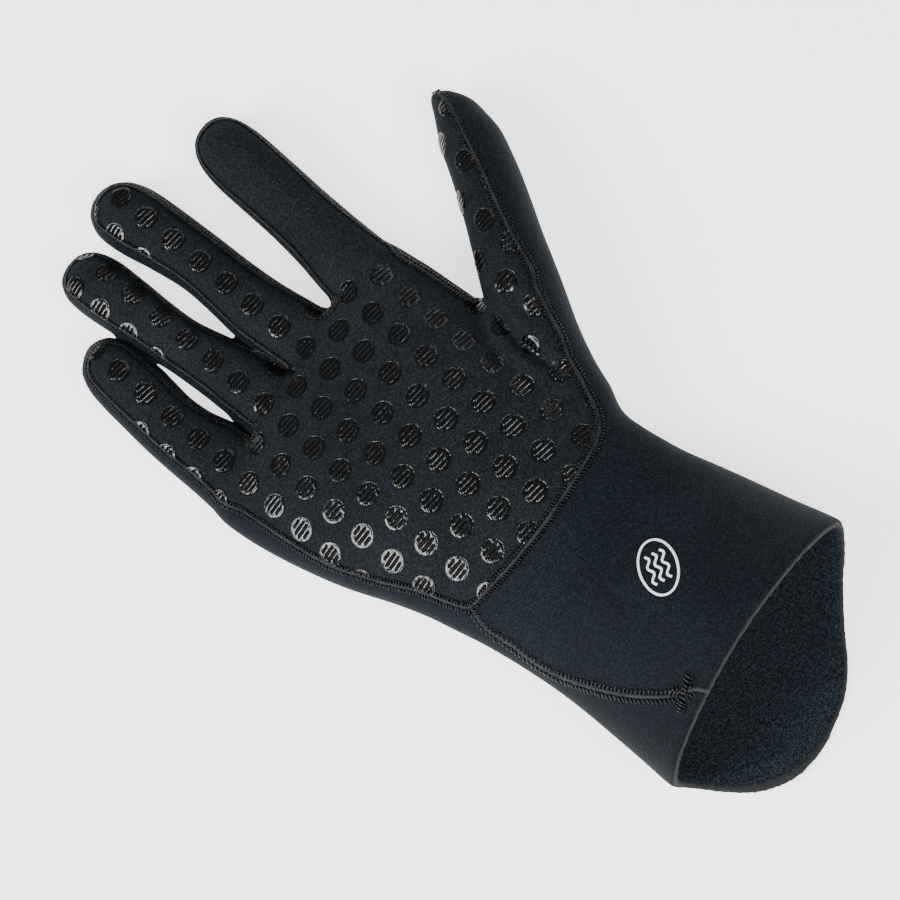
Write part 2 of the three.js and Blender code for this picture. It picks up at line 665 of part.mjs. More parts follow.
// The plush skin inside the cuff, from just inside the rim to the wrist, open at both ends.
const cuffLining = bodySolid(WALL + PIECE_GAP, { pastRim: CUT_MARGIN, end: STRETCHES.wrist.start })
  .subtract(bodySolid(WALL + PIECE_GAP + LINING, { pastRim: 2 * CUT_MARGIN, end: STRETCHES.palm.start }))
  .subtract(pastRimSolid(LINING));

const neopreneFront = new THREE.MeshStandardMaterial({ color: 0x262e37, roughness: 0.78, metalness: 0 });
const neopreneBack = new THREE.MeshStandardMaterial({ color: 0x19212b, roughness: 0.82, metalness: 0 });
const plush = new THREE.MeshStandardMaterial({ color: 0x0f1926, roughness: 0.97, metalness: 0 });

function meshOf(name, solid, material) {
  const { vertProperties, triVerts } = solid.getMesh();
  const geometry = new THREE.BufferGeometry();
  geometry.setAttribute('position', new THREE.BufferAttribute(vertProperties, 3));
  geometry.setIndex(new THREE.BufferAttribute(triVerts, 1));
  const mesh = new THREE.Mesh(geometry, material);
  mesh.name = name;
  return mesh;
}

const glove = new THREE.Group();
glove.add(meshOf('palm_panel', palmPanel, neopreneFront));
glove.add(meshOf('back_panel', backPanel, neopreneBack));
glove.add(meshOf('cuff_lining', cuffLining, plush));

// The origin is under the middle of the glove, on the floor.
const box = new THREE.Box3().setFromObject(glove);
glove.position.set(-(box.min.x + box.max.x) / 2, -(box.min.y + box.max.y) / 2, -box.min.z);

export default glove;
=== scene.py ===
"""Neoprene diving glove, palm up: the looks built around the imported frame.

Shapes are worked out in millimetres in the palm frame: x = 0 is the middle of the palm, y = 0 is the
line of the finger roots and z = 0 is the floor. Finished pieces are handed over in metres, in the
frame's place.
"""

import logging
import math
from dataclasses import dataclass
from enum import Enum

import bpy
import numpy as np
from mathutils import Matrix, Vector

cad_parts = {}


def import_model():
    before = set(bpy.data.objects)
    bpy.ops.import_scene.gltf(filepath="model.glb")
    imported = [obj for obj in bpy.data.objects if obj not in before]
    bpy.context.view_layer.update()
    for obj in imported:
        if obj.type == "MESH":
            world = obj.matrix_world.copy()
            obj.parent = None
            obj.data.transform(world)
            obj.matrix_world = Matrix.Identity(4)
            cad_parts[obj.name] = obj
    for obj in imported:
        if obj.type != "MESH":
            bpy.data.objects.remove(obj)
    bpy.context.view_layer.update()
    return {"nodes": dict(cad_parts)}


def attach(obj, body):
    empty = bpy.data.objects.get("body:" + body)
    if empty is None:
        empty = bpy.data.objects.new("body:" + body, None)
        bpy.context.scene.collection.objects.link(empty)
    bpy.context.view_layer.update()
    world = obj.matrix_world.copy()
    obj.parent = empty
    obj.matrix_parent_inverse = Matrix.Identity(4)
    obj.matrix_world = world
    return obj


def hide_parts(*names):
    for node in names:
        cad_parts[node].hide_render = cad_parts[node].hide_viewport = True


LOG = logging.getLogger("diving_glove")
MM = 0.001
MM_A_METRE = 1000.0
FAR_AWAY = 25.0
TINY = 1e-6
FINE_STEP = 1.18
CUT_EDGE = "cut_edge"
EDGE_SPAN = (0.30, 0.48)
FOAM_COLOUR = (0.020, 0.021, 0.022)

# The block of points that every field is worked out on, and a height over the glove but inside the block
BLOCK_LOW = (-60.0, -215.0, -4.0)
BLOCK_HIGH = (114.5, 112.0, 62.0)
ABOVE_GLOVE = 61.0

# How the search for the outer face steps, and how steep a field is taken to be at most
FACE_ROUNDS = 4
CAST_ROUNDS = 60
CAST_SHARE = 0.8
STEEPEST = 12.0

# Points that smooth_line works out between two corners
POINTS_A_SPAN = 24


@dataclass(frozen=True)
class GloveSizes:
    """Driving sizes of the glove in millimetres and degrees, the same as the part's own."""

    palm_width: float = 107.0
    palm_length: float = 102.0
    palm_height: float = 35.0
    wrist_width: float = 86.0
    wrist_height: float = 36.0
    cuff_length: float = 80.0
    mouth_width: float = 97.0
    mouth_height: float = 57.0
    back_rim_reach: float = 26.8
    rim_corner: float = 0.42
    wall: float = 3.6
    lining: float = 1.1
    gap: float = 0.3
    thumb_length: float = 117.5
    thumb_width: float = 23.4
    thumb_height: float = 25.0
    thumb_splay: float = 35.2
    index_length: float = 87.2
    middle_length: float = 106.3
    ring_length: float = 102.2
    little_length: float = 78.6
    finger_width: float = 23.0
    finger_height: float = 20.5
    pressed_flat: float = 0.035
    frame_x: float = -27.441
    frame_y: float = 51.352

    def to_frame(self, points: np.ndarray) -> np.ndarray:
        """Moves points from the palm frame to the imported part's place.

        Args:
            points: Points in millimetres, one a row.

        Returns:
            The same points in metres.
        """
        return (points + np.array([self.frame_x, self.frame_y, 0.0])) * MM


SIZES = GloveSizes()


class SectionTable:
    """Rows of a table, read between the rows on smooth curves."""

    def __init__(self, columns: str, rows: list[tuple[float, ...]]) -> None:
        """Keeps the rows by column, and the slope of each column at each row.

        Args:
            columns: The names of the columns, the place along the table first.
            rows: The rows, in the order of their places.
        """
        names = columns.split()
        numbers = np.array(rows, float)
        self.place = numbers[:, 0]
        self.column = {name: numbers[:, i] for i, name in enumerate(names)}
        before = np.maximum(np.arange(len(rows)) - 1, 0)
        after = np.minimum(np.arange(len(rows)) + 1, len(rows) - 1)
        run = self.place[after] - self.place[before]
        self.slope = {name: (v[after] - v[before]) / run for name, v in self.column.items()}

    def read(self, name: str, at: np.ndarray) -> np.ndarray:
        """Reads one column.

        Args:
            name: The column.
            at: Places along the table; past its ends the end rows hold.

        Returns:
            The column's number at each place.
        """
        values, slopes = self.column[name], self.slope[name]
        low = np.clip(np.searchsorted(self.place, at, side="right") - 1, 0, len(self.place) - 2)
        span = self.place[low + 1] - self.place[low]
        u = np.clip((at - self.place[low]) / span, 0.0, 1.0)
        rise = u * u * (3.0 - 2.0 * u)
        leave = u * (1.0 - u) ** 2 * span * slopes[low]
        arrive = u * u * (1.0 - u) * span * slopes[low + 1]
        return values[low] * (1.0 - rise) + values[low + 1] * rise + leave - arrive


class Stretch(Enum):
    """The three stretches of the hand tube: start, length, half width and height of each."""

    PALM = (0.0, SIZES.palm_length, SIZES.palm_width / 2, SIZES.palm_height)
    WRIST = (-SIZES.palm_length, SIZES.cuff_length, SIZES.wrist_width / 2, SIZES.wrist_height)
    MOUTH = (
        -SIZES.palm_length - SIZES.cuff_length,
        SIZES.cuff_length,
        SIZES.mouth_width / 2,
        SIZES.mouth_height,
    )

    def row(
        self, along: float, ulnar: float, radial: float, height: float, *shape: float
    ) -> tuple[float, ...]:
        """Turns one row of shares into millimetres.

        Args:
            along: Share of the stretch's length from its start, towards the mouth.
            ulnar: Share of the half width on the little finger's side.
            radial: Share of the half width on the thumb's side.
            height: Share of the height.
            *shape: Height of the widest line, then fullness of the upper and of the lower half.

        Returns:
            The row with its place along y first.
        """
        start, length, half, tall = self.value
        return (start - along * length, ulnar * half, radial * half, height * tall, *shape)


BODY = SectionTable(
    "y ulnar radial height belt top floor",
    sorted(
        [
            Stretch.PALM.row(-0.06, -0.90, 0.90, 0.46, 0.50, 2.3, 3.0),
            Stretch.PALM.row(-0.03, -0.955, 0.955, 0.62, 0.48, 2.6, 3.0),
            Stretch.PALM.row(0.02, -1.0, 0.995, 0.71, 0.47, 2.8, 3.2),
            Stretch.PALM.row(0.12, -1.02, 1.01, 0.79, 0.46, 2.8, 3.2),
            Stretch.PALM.row(0.26, -1.01, 1.0, 0.87, 0.45, 2.7, 3.2),
            Stretch.PALM.row(0.40, -0.975, 0.985, 0.93, 0.45, 2.6, 3.2),
            Stretch.PALM.row(0.54, -0.925, 0.972, 0.98, 0.45, 2.5, 3.2),
            Stretch.PALM.row(0.68, -0.86, 0.96, 1.0, 0.46, 2.4, 3.1),
            Stretch.PALM.row(0.80, -0.81, 0.94, 1.01, 0.46, 2.3, 3.0),
            Stretch.WRIST.row(-0.13, -0.975, 1.14, 0.985, 0.46, 2.25, 2.9),
            Stretch.WRIST.row(0.0, -0.945, 1.06, 0.985, 0.46, 2.2, 2.8),
            Stretch.WRIST.row(0.13, -0.935, 1.045, 1.0, 0.46, 2.15, 2.7),
            Stretch.WRIST.row(0.29, -0.937, 1.044, 1.07, 0.45, 2.1, 2.6),
            Stretch.WRIST.row(0.44, -0.947, 1.074, 1.17, 0.44, 2.0, 2.5),
            Stretch.MOUTH.row(-0.37, -0.865, 0.992, 0.84, 0.42, 1.9, 2.45),
            Stretch.MOUTH.row(-0.18, -0.897, 1.026, 0.93, 0.40, 1.8, 2.4),
            Stretch.MOUTH.row(0.0, -0.938, 1.058, 1.0, 0.39, 1.75, 2.35),
            Stretch.MOUTH.row(0.20, -0.95, 1.07, 1.04, 0.38, 1.75, 2.3),
            Stretch.MOUTH.row(0.46, -0.95, 1.07, 1.06, 0.38, 1.75, 2.3),
        ]
    ),
)
BODY_END = 0.06 * SIZES.palm_length

RIM_LOBE = SectionTable(
    "across reach",
    [
        (-1.0, 0.0),
        (-0.94, 0.34),
        (-0.86, 0.65),
        (-0.75, 0.85),
        (-0.52, 1.0),
        (-0.27, 1.04),
        (-0.08, 1.0),
        (0.08, 0.93),
        (0.26, 0.76),
        (0.47, 0.48),
        (0.70, 0.25),
        (0.90, 0.12),
        (1.0, 0.0),
    ],
)

PALM_SEAMS = SectionTable(
    "along ulnar radial",
    [
        (-0.02, -0.885, 0.955),
        (0.14, -0.88, 0.965),
        (0.31, -0.88, 0.955),
        (0.45, -0.865, 0.95),
        (0.60, -0.805, 0.95),
        (0.77, -0.70, 0.92),
        (0.90, -0.645, 0.86),
        (1.06, -0.55, 0.76),
    ],
)

WRIST_SEAM = [
    (-0.62, 0.945),
    (-0.55, 0.957),
    (-0.27, 0.999),
    (0.04, 1.025),
    (0.35, 1.028),
    (0.61, 1.01),
    (0.745, 0.962),
    (0.855, 0.882),
    (0.955, 0.785),
    (1.055, 0.725),
    (1.13, 0.656),
    (1.24, 0.567),
]


def joined_softly(a: np.ndarray, b: np.ndarray, reach: float) -> np.ndarray:
    """Joins two distance fields with a fillet.

    Args:
        a: Distances from the first form, less than 0 inside.
        b: Distances from the second form.
        reach: How far the fillet reaches, in millimetres.

    Returns:
        Distances from the two forms together.
    """
    near = np.clip(reach - np.abs(a - b), 0.0, None) / reach
    return np.minimum(a, b) - near * near * reach * 0.25


def cut_softly(a: np.ndarray, b: np.ndarray, reach: float) -> np.ndarray:
    """Keeps what two distance fields share, with a rounded edge of the given reach."""
    return -joined_softly(-a, -b, reach)


def oval_distance(
    across: np.ndarray, rise: np.ndarray, half: np.ndarray, tall: np.ndarray, power: np.ndarray
) -> np.ndarray:
    """Distance from the edge of an oval.

    Args:
        across: Place across the oval from its middle.
        rise: Place up from the oval's widest line.
        half: The oval's half width.
        tall: The oval's height on this side of its widest line.
        power: The oval's fullness on this side, 2 for an ellipse.

    Returns:
        The distance, less than 0 inside, to first order.
    """
    u = np.abs(across) / half + TINY
    w = np.abs(rise) / tall + TINY
    size = (u**power + w**power) ** (1.0 / power)
    slope = size ** (1.0 - power) * np.hypot(u ** (power - 1.0) / half, w ** (power - 1.0) / tall)
    return (size - 1.0) / np.maximum(slope, TINY)


class Space:
    """A block of evenly spaced points round the glove, for distance fields."""

    def __init__(
        self, low: tuple[float, float, float], high: tuple[float, float, float], step: float
    ) -> None:
        """Lays out the points.

        Args:
            low: Lowest corner, in millimetres.
            high: Highest corner.
            step: Spacing.
        """
        self.low = np.array(low, float)
        self.step = step
        counts = [int(math.ceil((b - a) / step)) + 1 for a, b in zip(low, high)]
        self.axes = [a + step * np.arange(n) for a, n in zip(low, counts)]
        self.shape = tuple(counts)

    def block(self, low: np.ndarray, high: np.ndarray) -> tuple[slice, slice, slice]:
        """The slices of the points between two corners.

        Args:
            low: The lower corner, in millimetres.
            high: The higher corner.

        Returns:
            The slices along x, y and z.
        """
        first = np.clip(np.floor((low - self.low) / self.step), 0, np.array(self.shape) - 2).astype(int)
        last = np.clip(np.ceil((high - self.low) / self.step) + 1, first + 2, self.shape).astype(int)
        return tuple(slice(a, b) for a, b in zip(first, last))

    def points(self, part: tuple[slice, slice, slice]) -> tuple[np.ndarray, np.ndarray, np.ndarray]:
        """The places of a block of points along x, y and z, ready to broadcast."""
        x, y, z = (axis[cut] for axis, cut in zip(self.axes, part))
        return x[:, None, None], y[None, :, None], z[None, None, :]

    def sample(self, values: np.ndarray, places: np.ndarray) -> np.ndarray:
        """Reads a field between its points.

        Args:
            values: The field on all the points, with any number of trailing columns.
            places: Places in millimetres, one a row.

        Returns:
            The field at each place.
        """
        at = (places - self.low) / self.step
        cell = np.clip(np.floor(at), 0, np.array(self.shape) - 2).astype(int)
        t = np.clip(at - cell, 0.0, 1.0)
        total = 0.0
        for corner in np.ndindex(2, 2, 2):
            weight = np.prod(np.where(np.array(corner) == 1, t, 1.0 - t), axis=1)
            there = values[cell[:, 0] + corner[0], cell[:, 1] + corner[1], cell[:, 2] + corner[2]]
            total = total + (weight if there.ndim == 1 else weight[:, None]) * there
        return total


def true_slope(values: np.ndarray, step: float) -> np.ndarray:
    """Divides a field by its own slope, so that it reads as a distance near its surface."""
    slope = np.sqrt(sum(g * g for g in np.gradient(values, step)))
    return values / np.clip(slope, 1.0, STEEPEST)


# A digit's half width and half height are kept as squares, of this at least, in square millimetres.
LEAST_SQUARE = 0.01

# Where a finger ends past its last section, as a share of its length, and how far its middle rises
TIP_ALONG = 1.003
TIP_RISE = 0.3

# How far under the outer face the palm panel's share of a digit reaches, in millimetres
FINGER_FRONT_DEPTH = 1.5
THUMB_FRONT_DEPTH = 2.0


@dataclass(frozen=True)
class Digit:
    """A finger or the thumb: a leaning tube of ovals with a round tip."""

    root: tuple[float, float]
    lean: float
    length: float
    fullness: tuple[float, float]
    sections: SectionTable

    @property
    def way(self) -> np.ndarray:
        """The way along the digit, in plan."""
        lean = math.radians(self.lean)
        return np.array([math.sin(lean), math.cos(lean)])

    @property
    def side(self) -> np.ndarray:
        """The way across the digit towards the thumb's side, in plan."""
        lean = math.radians(self.lean)
        return np.array([math.cos(lean), -math.sin(lean)])

    def place(self, x: np.ndarray, y: np.ndarray) -> tuple[np.ndarray, np.ndarray]:
        """Places along and across the digit of points in plan."""
        dx, dy = x - self.root[0], y - self.root[1]
        return dx * self.way[0] + dy * self.way[1], dx * self.side[0] + dy * self.side[1]

    def distance(self, x: np.ndarray, y: np.ndarray, z: np.ndarray) -> np.ndarray:
        """Distance from the digit's outer face, before it is joined to the hand.

        Args:
            x: Places along x.
            y: Places along y.
            z: Places along z.

        Returns:
            The distance, less than 0 inside.
        """
        along, across = self.place(x, y)
        section = self.sections
        half = np.sqrt(np.maximum(section.read("wide", along), LEAST_SQUARE))
        tall = np.sqrt(np.maximum(section.read("high", along), LEAST_SQUARE))
        rise = z - section.read("centre", along)
        power = np.where(rise >= 0.0, self.fullness[0], self.fullness[1])
        down = tall * np.where(rise >= 0.0, 1.0, 1.0 + SIZES.pressed_flat)
        edge = oval_distance(across - section.read("offset", along), rise, half, down, power)
        past = np.maximum(along - section.place[-1], section.place[0] - along)
        return np.where(past > 0.0, np.hypot(np.maximum(edge, 0.0), past), np.maximum(edge, past))


def finger_table(length: float, rows: list[tuple[float, float, float, float, float]]) -> SectionTable:
    """Turns a finger's shares into millimetres.

    Args:
        length: The finger's length.
        rows: For each section: along, side, width, height and lift, as the part has them.

    Returns:
        The table, with the squares of the half width and half height, which follow a round tip evenly.
    """
    made = []
    for along, side, width, height, lift in rows:
        half = width * SIZES.finger_width / 2
        tall = height * SIZES.finger_height / 2
        centre = lift * SIZES.finger_height + tall
        made.append((along * length, side * SIZES.finger_width, half**2, tall**2, centre))
    _, side, _, _, centre = made[-1]
    made.append((TIP_ALONG * length, side, 0.0, 0.0, centre + TIP_RISE))
    return SectionTable("along offset wide high centre", made)


@dataclass(frozen=True)
class Finger(Digit):
    """A finger, with the slopes of its two seams in degrees."""

    seams: tuple[float, float]

    def front(self, x: np.ndarray, y: np.ndarray, z: np.ndarray, edge: np.ndarray) -> np.ndarray:
        """How far points lie inside the finger's share of the palm panel.

        Args:
            x: Places along x.
            y: Places along y.
            z: Places along z.
            edge: Distances from the finger's outer face.

        Returns:
            The distance in front of the seam, more than 0 on the palm's side.
        """
        along, across = self.place(x, y)
        across = across - self.sections.read("offset", along)
        widest = math.sqrt(self.sections.column["wide"].max())
        past = np.maximum(along - (self.length - widest), 0.0)
        reach = np.hypot(across, past)
        ulnar, radial = (math.tan(math.radians(a)) for a in self.seams)
        turn = np.arctan2(across, past + TINY) / math.pi + 0.5
        slope = ulnar + (radial - ulnar) * turn
        height = SIZES.finger_height / 2 + reach * slope
        front = (z - height) / np.sqrt(1.0 + slope**2)
        start = along - self.sections.place[0]
        return np.minimum(np.minimum(front, FINGER_FRONT_DEPTH - edge), start)


@dataclass(frozen=True)
class Thumb(Digit):
    """The thumb, whose two seams turn round its axis."""

    turns: SectionTable

    def front(self, x: np.ndarray, y: np.ndarray, z: np.ndarray, edge: np.ndarray) -> np.ndarray:
        """How far points lie inside the thumb's share of the palm panel.

        Args:
            x: Places along x.
            y: Places along y.
            z: Places along z.
            edge: Distances from the thumb's outer face.

        Returns:
            The distance in front of the seam, more than 0 on the palm's side.
        """
        along, across = self.place(x, y)
        across = across - self.sections.read("offset", along)
        rise = z - self.sections.read("centre", along)
        upper = np.radians(self.turns.read("upper", along))
        lower = np.radians(self.turns.read("lower", along))
        from_upper = np.cos(upper) * rise - np.sin(upper) * across
        from_lower = np.sin(lower) * across - np.cos(lower) * rise
        depth = THUMB_FRONT_DEPTH - edge
        return np.minimum(np.minimum(from_upper, from_lower), np.minimum(depth, along))


FINGER_FULLNESS = (2.5, 2.9)


def new_finger(
    share: float,
    lean: float,
    length: float,
    seams: tuple[float, float],
    rows: list[tuple[float, float, float, float, float]],
) -> Finger:
    """Makes a finger.

    Args:
        share: Where its root lies, as a share of the palm's width from the palm's middle.
        lean: How far it leans to the thumb's side, in degrees.
        length: Its length.
        seams: The slopes of its seams on the little finger's side and on the thumb's side, in degrees.
        rows: Its sections: along, side, width, height and lift, as the part has them.

    Returns:
        The finger.
    """
    root = (share * SIZES.palm_width, 0.0)
    return Finger(root, lean, length, FINGER_FULLNESS, finger_table(length, rows), seams)


FINGERS = {
    "index": new_finger(
        share=0.367,
        lean=10.85,
        length=SIZES.index_length,
        seams=(34.0, 26.0),
        rows=[
            (-0.14, 0.0, 1.02, 1.04, 0.0),
            (0.0, 0.01, 1.16, 1.12, 0.0),
            (0.12, 0.01, 1.14, 1.08, 0.0),
            (0.26, 0.01, 1.07, 1.0, 0.0),
            (0.43, 0.0, 1.02, 0.98, 0.0),
            (0.62, 0.0, 1.02, 1.0, 0.02),
            (0.78, 0.0, 1.01, 0.97, 0.04),
            (0.88, 0.0, 0.90, 0.87, 0.06),
            (0.95, 0.0, 0.67, 0.68, 0.10),
            (0.985, 0.0, 0.42, 0.45, 0.16),
        ],
    ),
    "middle": new_finger(
        share=0.116,
        lean=1.5,
        length=SIZES.middle_length,
        seams=(42.0, 34.0),
        rows=[
            (-0.12, -0.02, 1.02, 1.06, 0.0),
            (0.0, -0.03, 1.08, 1.14, 0.0),
            (0.12, -0.06, 1.08, 1.10, 0.0),
            (0.27, -0.06, 1.03, 1.04, 0.0),
            (0.42, 0.0, 0.945, 0.98, 0.0),
            (0.55, 0.05, 0.93, 0.96, 0.0),
            (0.70, 0.06, 1.0, 1.0, 0.0),
            (0.82, 0.04, 1.06, 1.0, 0.01),
            (0.90, 0.02, 0.98, 0.92, 0.03),
            (0.955, 0.01, 0.73, 0.72, 0.08),
            (0.987, 0.0, 0.44, 0.46, 0.15),
        ],
    ),
    "ring": new_finger(
        share=-0.112,
        lean=0.95,
        length=SIZES.ring_length,
        seams=(44.0, 28.0),
        rows=[
            (-0.12, 0.0, 1.0, 1.04, 0.0),
            (0.0, 0.0, 1.06, 1.12, 0.0),
            (0.14, 0.0, 1.04, 1.08, 0.0),
            (0.28, -0.01, 0.96, 1.0, 0.0),
            (0.46, -0.04, 0.84, 0.94, 0.0),
            (0.60, -0.02, 0.83, 0.93, 0.01),
            (0.74, -0.01, 0.92, 0.97, 0.02),
            (0.84, 0.01, 0.95, 0.96, 0.03),
            (0.91, 0.01, 0.86, 0.87, 0.05),
            (0.96, 0.0, 0.64, 0.67, 0.10),
            (0.988, -0.02, 0.38, 0.42, 0.16),
        ],
    ),
    "little": new_finger(
        share=-0.367,
        lean=5.2,
        length=SIZES.little_length,
        seams=(50.0, 28.0),
        rows=[
            (-0.16, 0.02, 1.0, 1.0, 0.0),
            (0.0, 0.0, 1.19, 1.08, 0.0),
            (0.18, 0.0, 1.17, 1.04, 0.0),
            (0.34, -0.04, 1.05, 0.98, 0.0),
            (0.47, -0.04, 1.0, 0.95, 0.0),
            (0.60, 0.0, 1.01, 0.96, 0.01),
            (0.73, 0.03, 1.0, 0.96, 0.02),
            (0.84, 0.05, 0.93, 0.90, 0.04),
            (0.92, 0.07, 0.76, 0.76, 0.08),
            (0.975, 0.08, 0.47, 0.48, 0.15),
        ],
    ),
}

# along, offset, width, height and centre as shares of the thumb's sizes, then the turns of its upper and
# lower seam in degrees
THUMB_ROWS = [
    (0.0, -0.19, 0.98, 0.98, 0.68, 44, 185),
    (0.11, -0.16, 1.16, 1.10, 0.73, 44, 185),
    (0.255, -0.115, 1.15, 1.08, 0.75, 48, 190),
    (0.366, -0.08, 1.09, 1.04, 0.75, 60, 225),
    (0.46, -0.05, 1.02, 1.016, 0.73, 70, 236),
    (0.56, -0.015, 0.985, 1.0, 0.68, 78, 240),
    (0.66, 0.0, 0.97, 0.985, 0.63, 82, 240),
    (0.74, -0.005, 0.93, 0.945, 0.585, 86, 240),
    (0.81, -0.02, 0.88, 0.87, 0.545, 88, 240),
    (0.868, -0.05, 0.76, 0.76, 0.505, 88, 240),
    (0.928, -0.09, 0.61, 0.61, 0.47, 88, 240),
    (0.97, -0.17, 0.42, 0.42, 0.45, 90, 240),
    (1.004, -0.26, 0.0, 0.0, 0.44, 90, 240),
]
THUMB = Thumb(
    root=(0.396 * SIZES.palm_width, -0.811 * SIZES.palm_length),
    lean=SIZES.thumb_splay,
    length=SIZES.thumb_length,
    fullness=(2.2, 2.2),
    sections=SectionTable(
        "along offset wide high centre",
        [
            (
                along * SIZES.thumb_length,
                side * SIZES.thumb_width,
                (wide * SIZES.thumb_width / 2) ** 2,
                (high * SIZES.thumb_height / 2) ** 2,
                centre * SIZES.thumb_height,
            )
            for along, side, wide, high, centre, _, _ in THUMB_ROWS
        ],
    ),
    turns=SectionTable(
        "along upper lower",
        [(row[0] * SIZES.thumb_length, float(row[5]), float(row[6])) for row in THUMB_ROWS],
    ),
)


@dataclass(frozen=True)
class Crease:
    """A crease pressed into the palm's side: its line in plan, its depth and its width."""

    corners: list[tuple[float, float]]
    depth: float
    width: float


CREASES = [
    Crease(
        [(55.0, -42.5), (51.4, -51.0), (49.0, -57.0), (47.0, -65.0), (46.1, -73.0), (46.0, -80.0)],
        depth=3.4,
        width=2.2,
    ),
    Crease([(49.0, -42.0), (43.5, -51.0), (40.5, -60.0), (38.5, -70.0)], depth=1.0, width=2.6),
    Crease([(60.0, -49.0), (56.5, -57.0), (55.0, -66.0)], depth=1.3, width=2.2),
    Crease([(46.0, -92.0), (38.0, -97.0), (31.0, -99.0)], depth=0.5, width=2.6),
    Crease([(44.0, -112.0), (36.0, -109.0), (27.0, -109.0)], depth=0.6, width=3.0),
]


@dataclass(frozen=True)
class GrowingReach:
    """A fillet's reach that grows along a line, between two limits, in millimetres."""

    start: float
    growth: float
    least: float
    most: float

    def at(self, place: np.ndarray) -> np.ndarray:
        """The reach at places along the line."""
        return np.clip(self.start + self.growth * place, self.least, self.most)


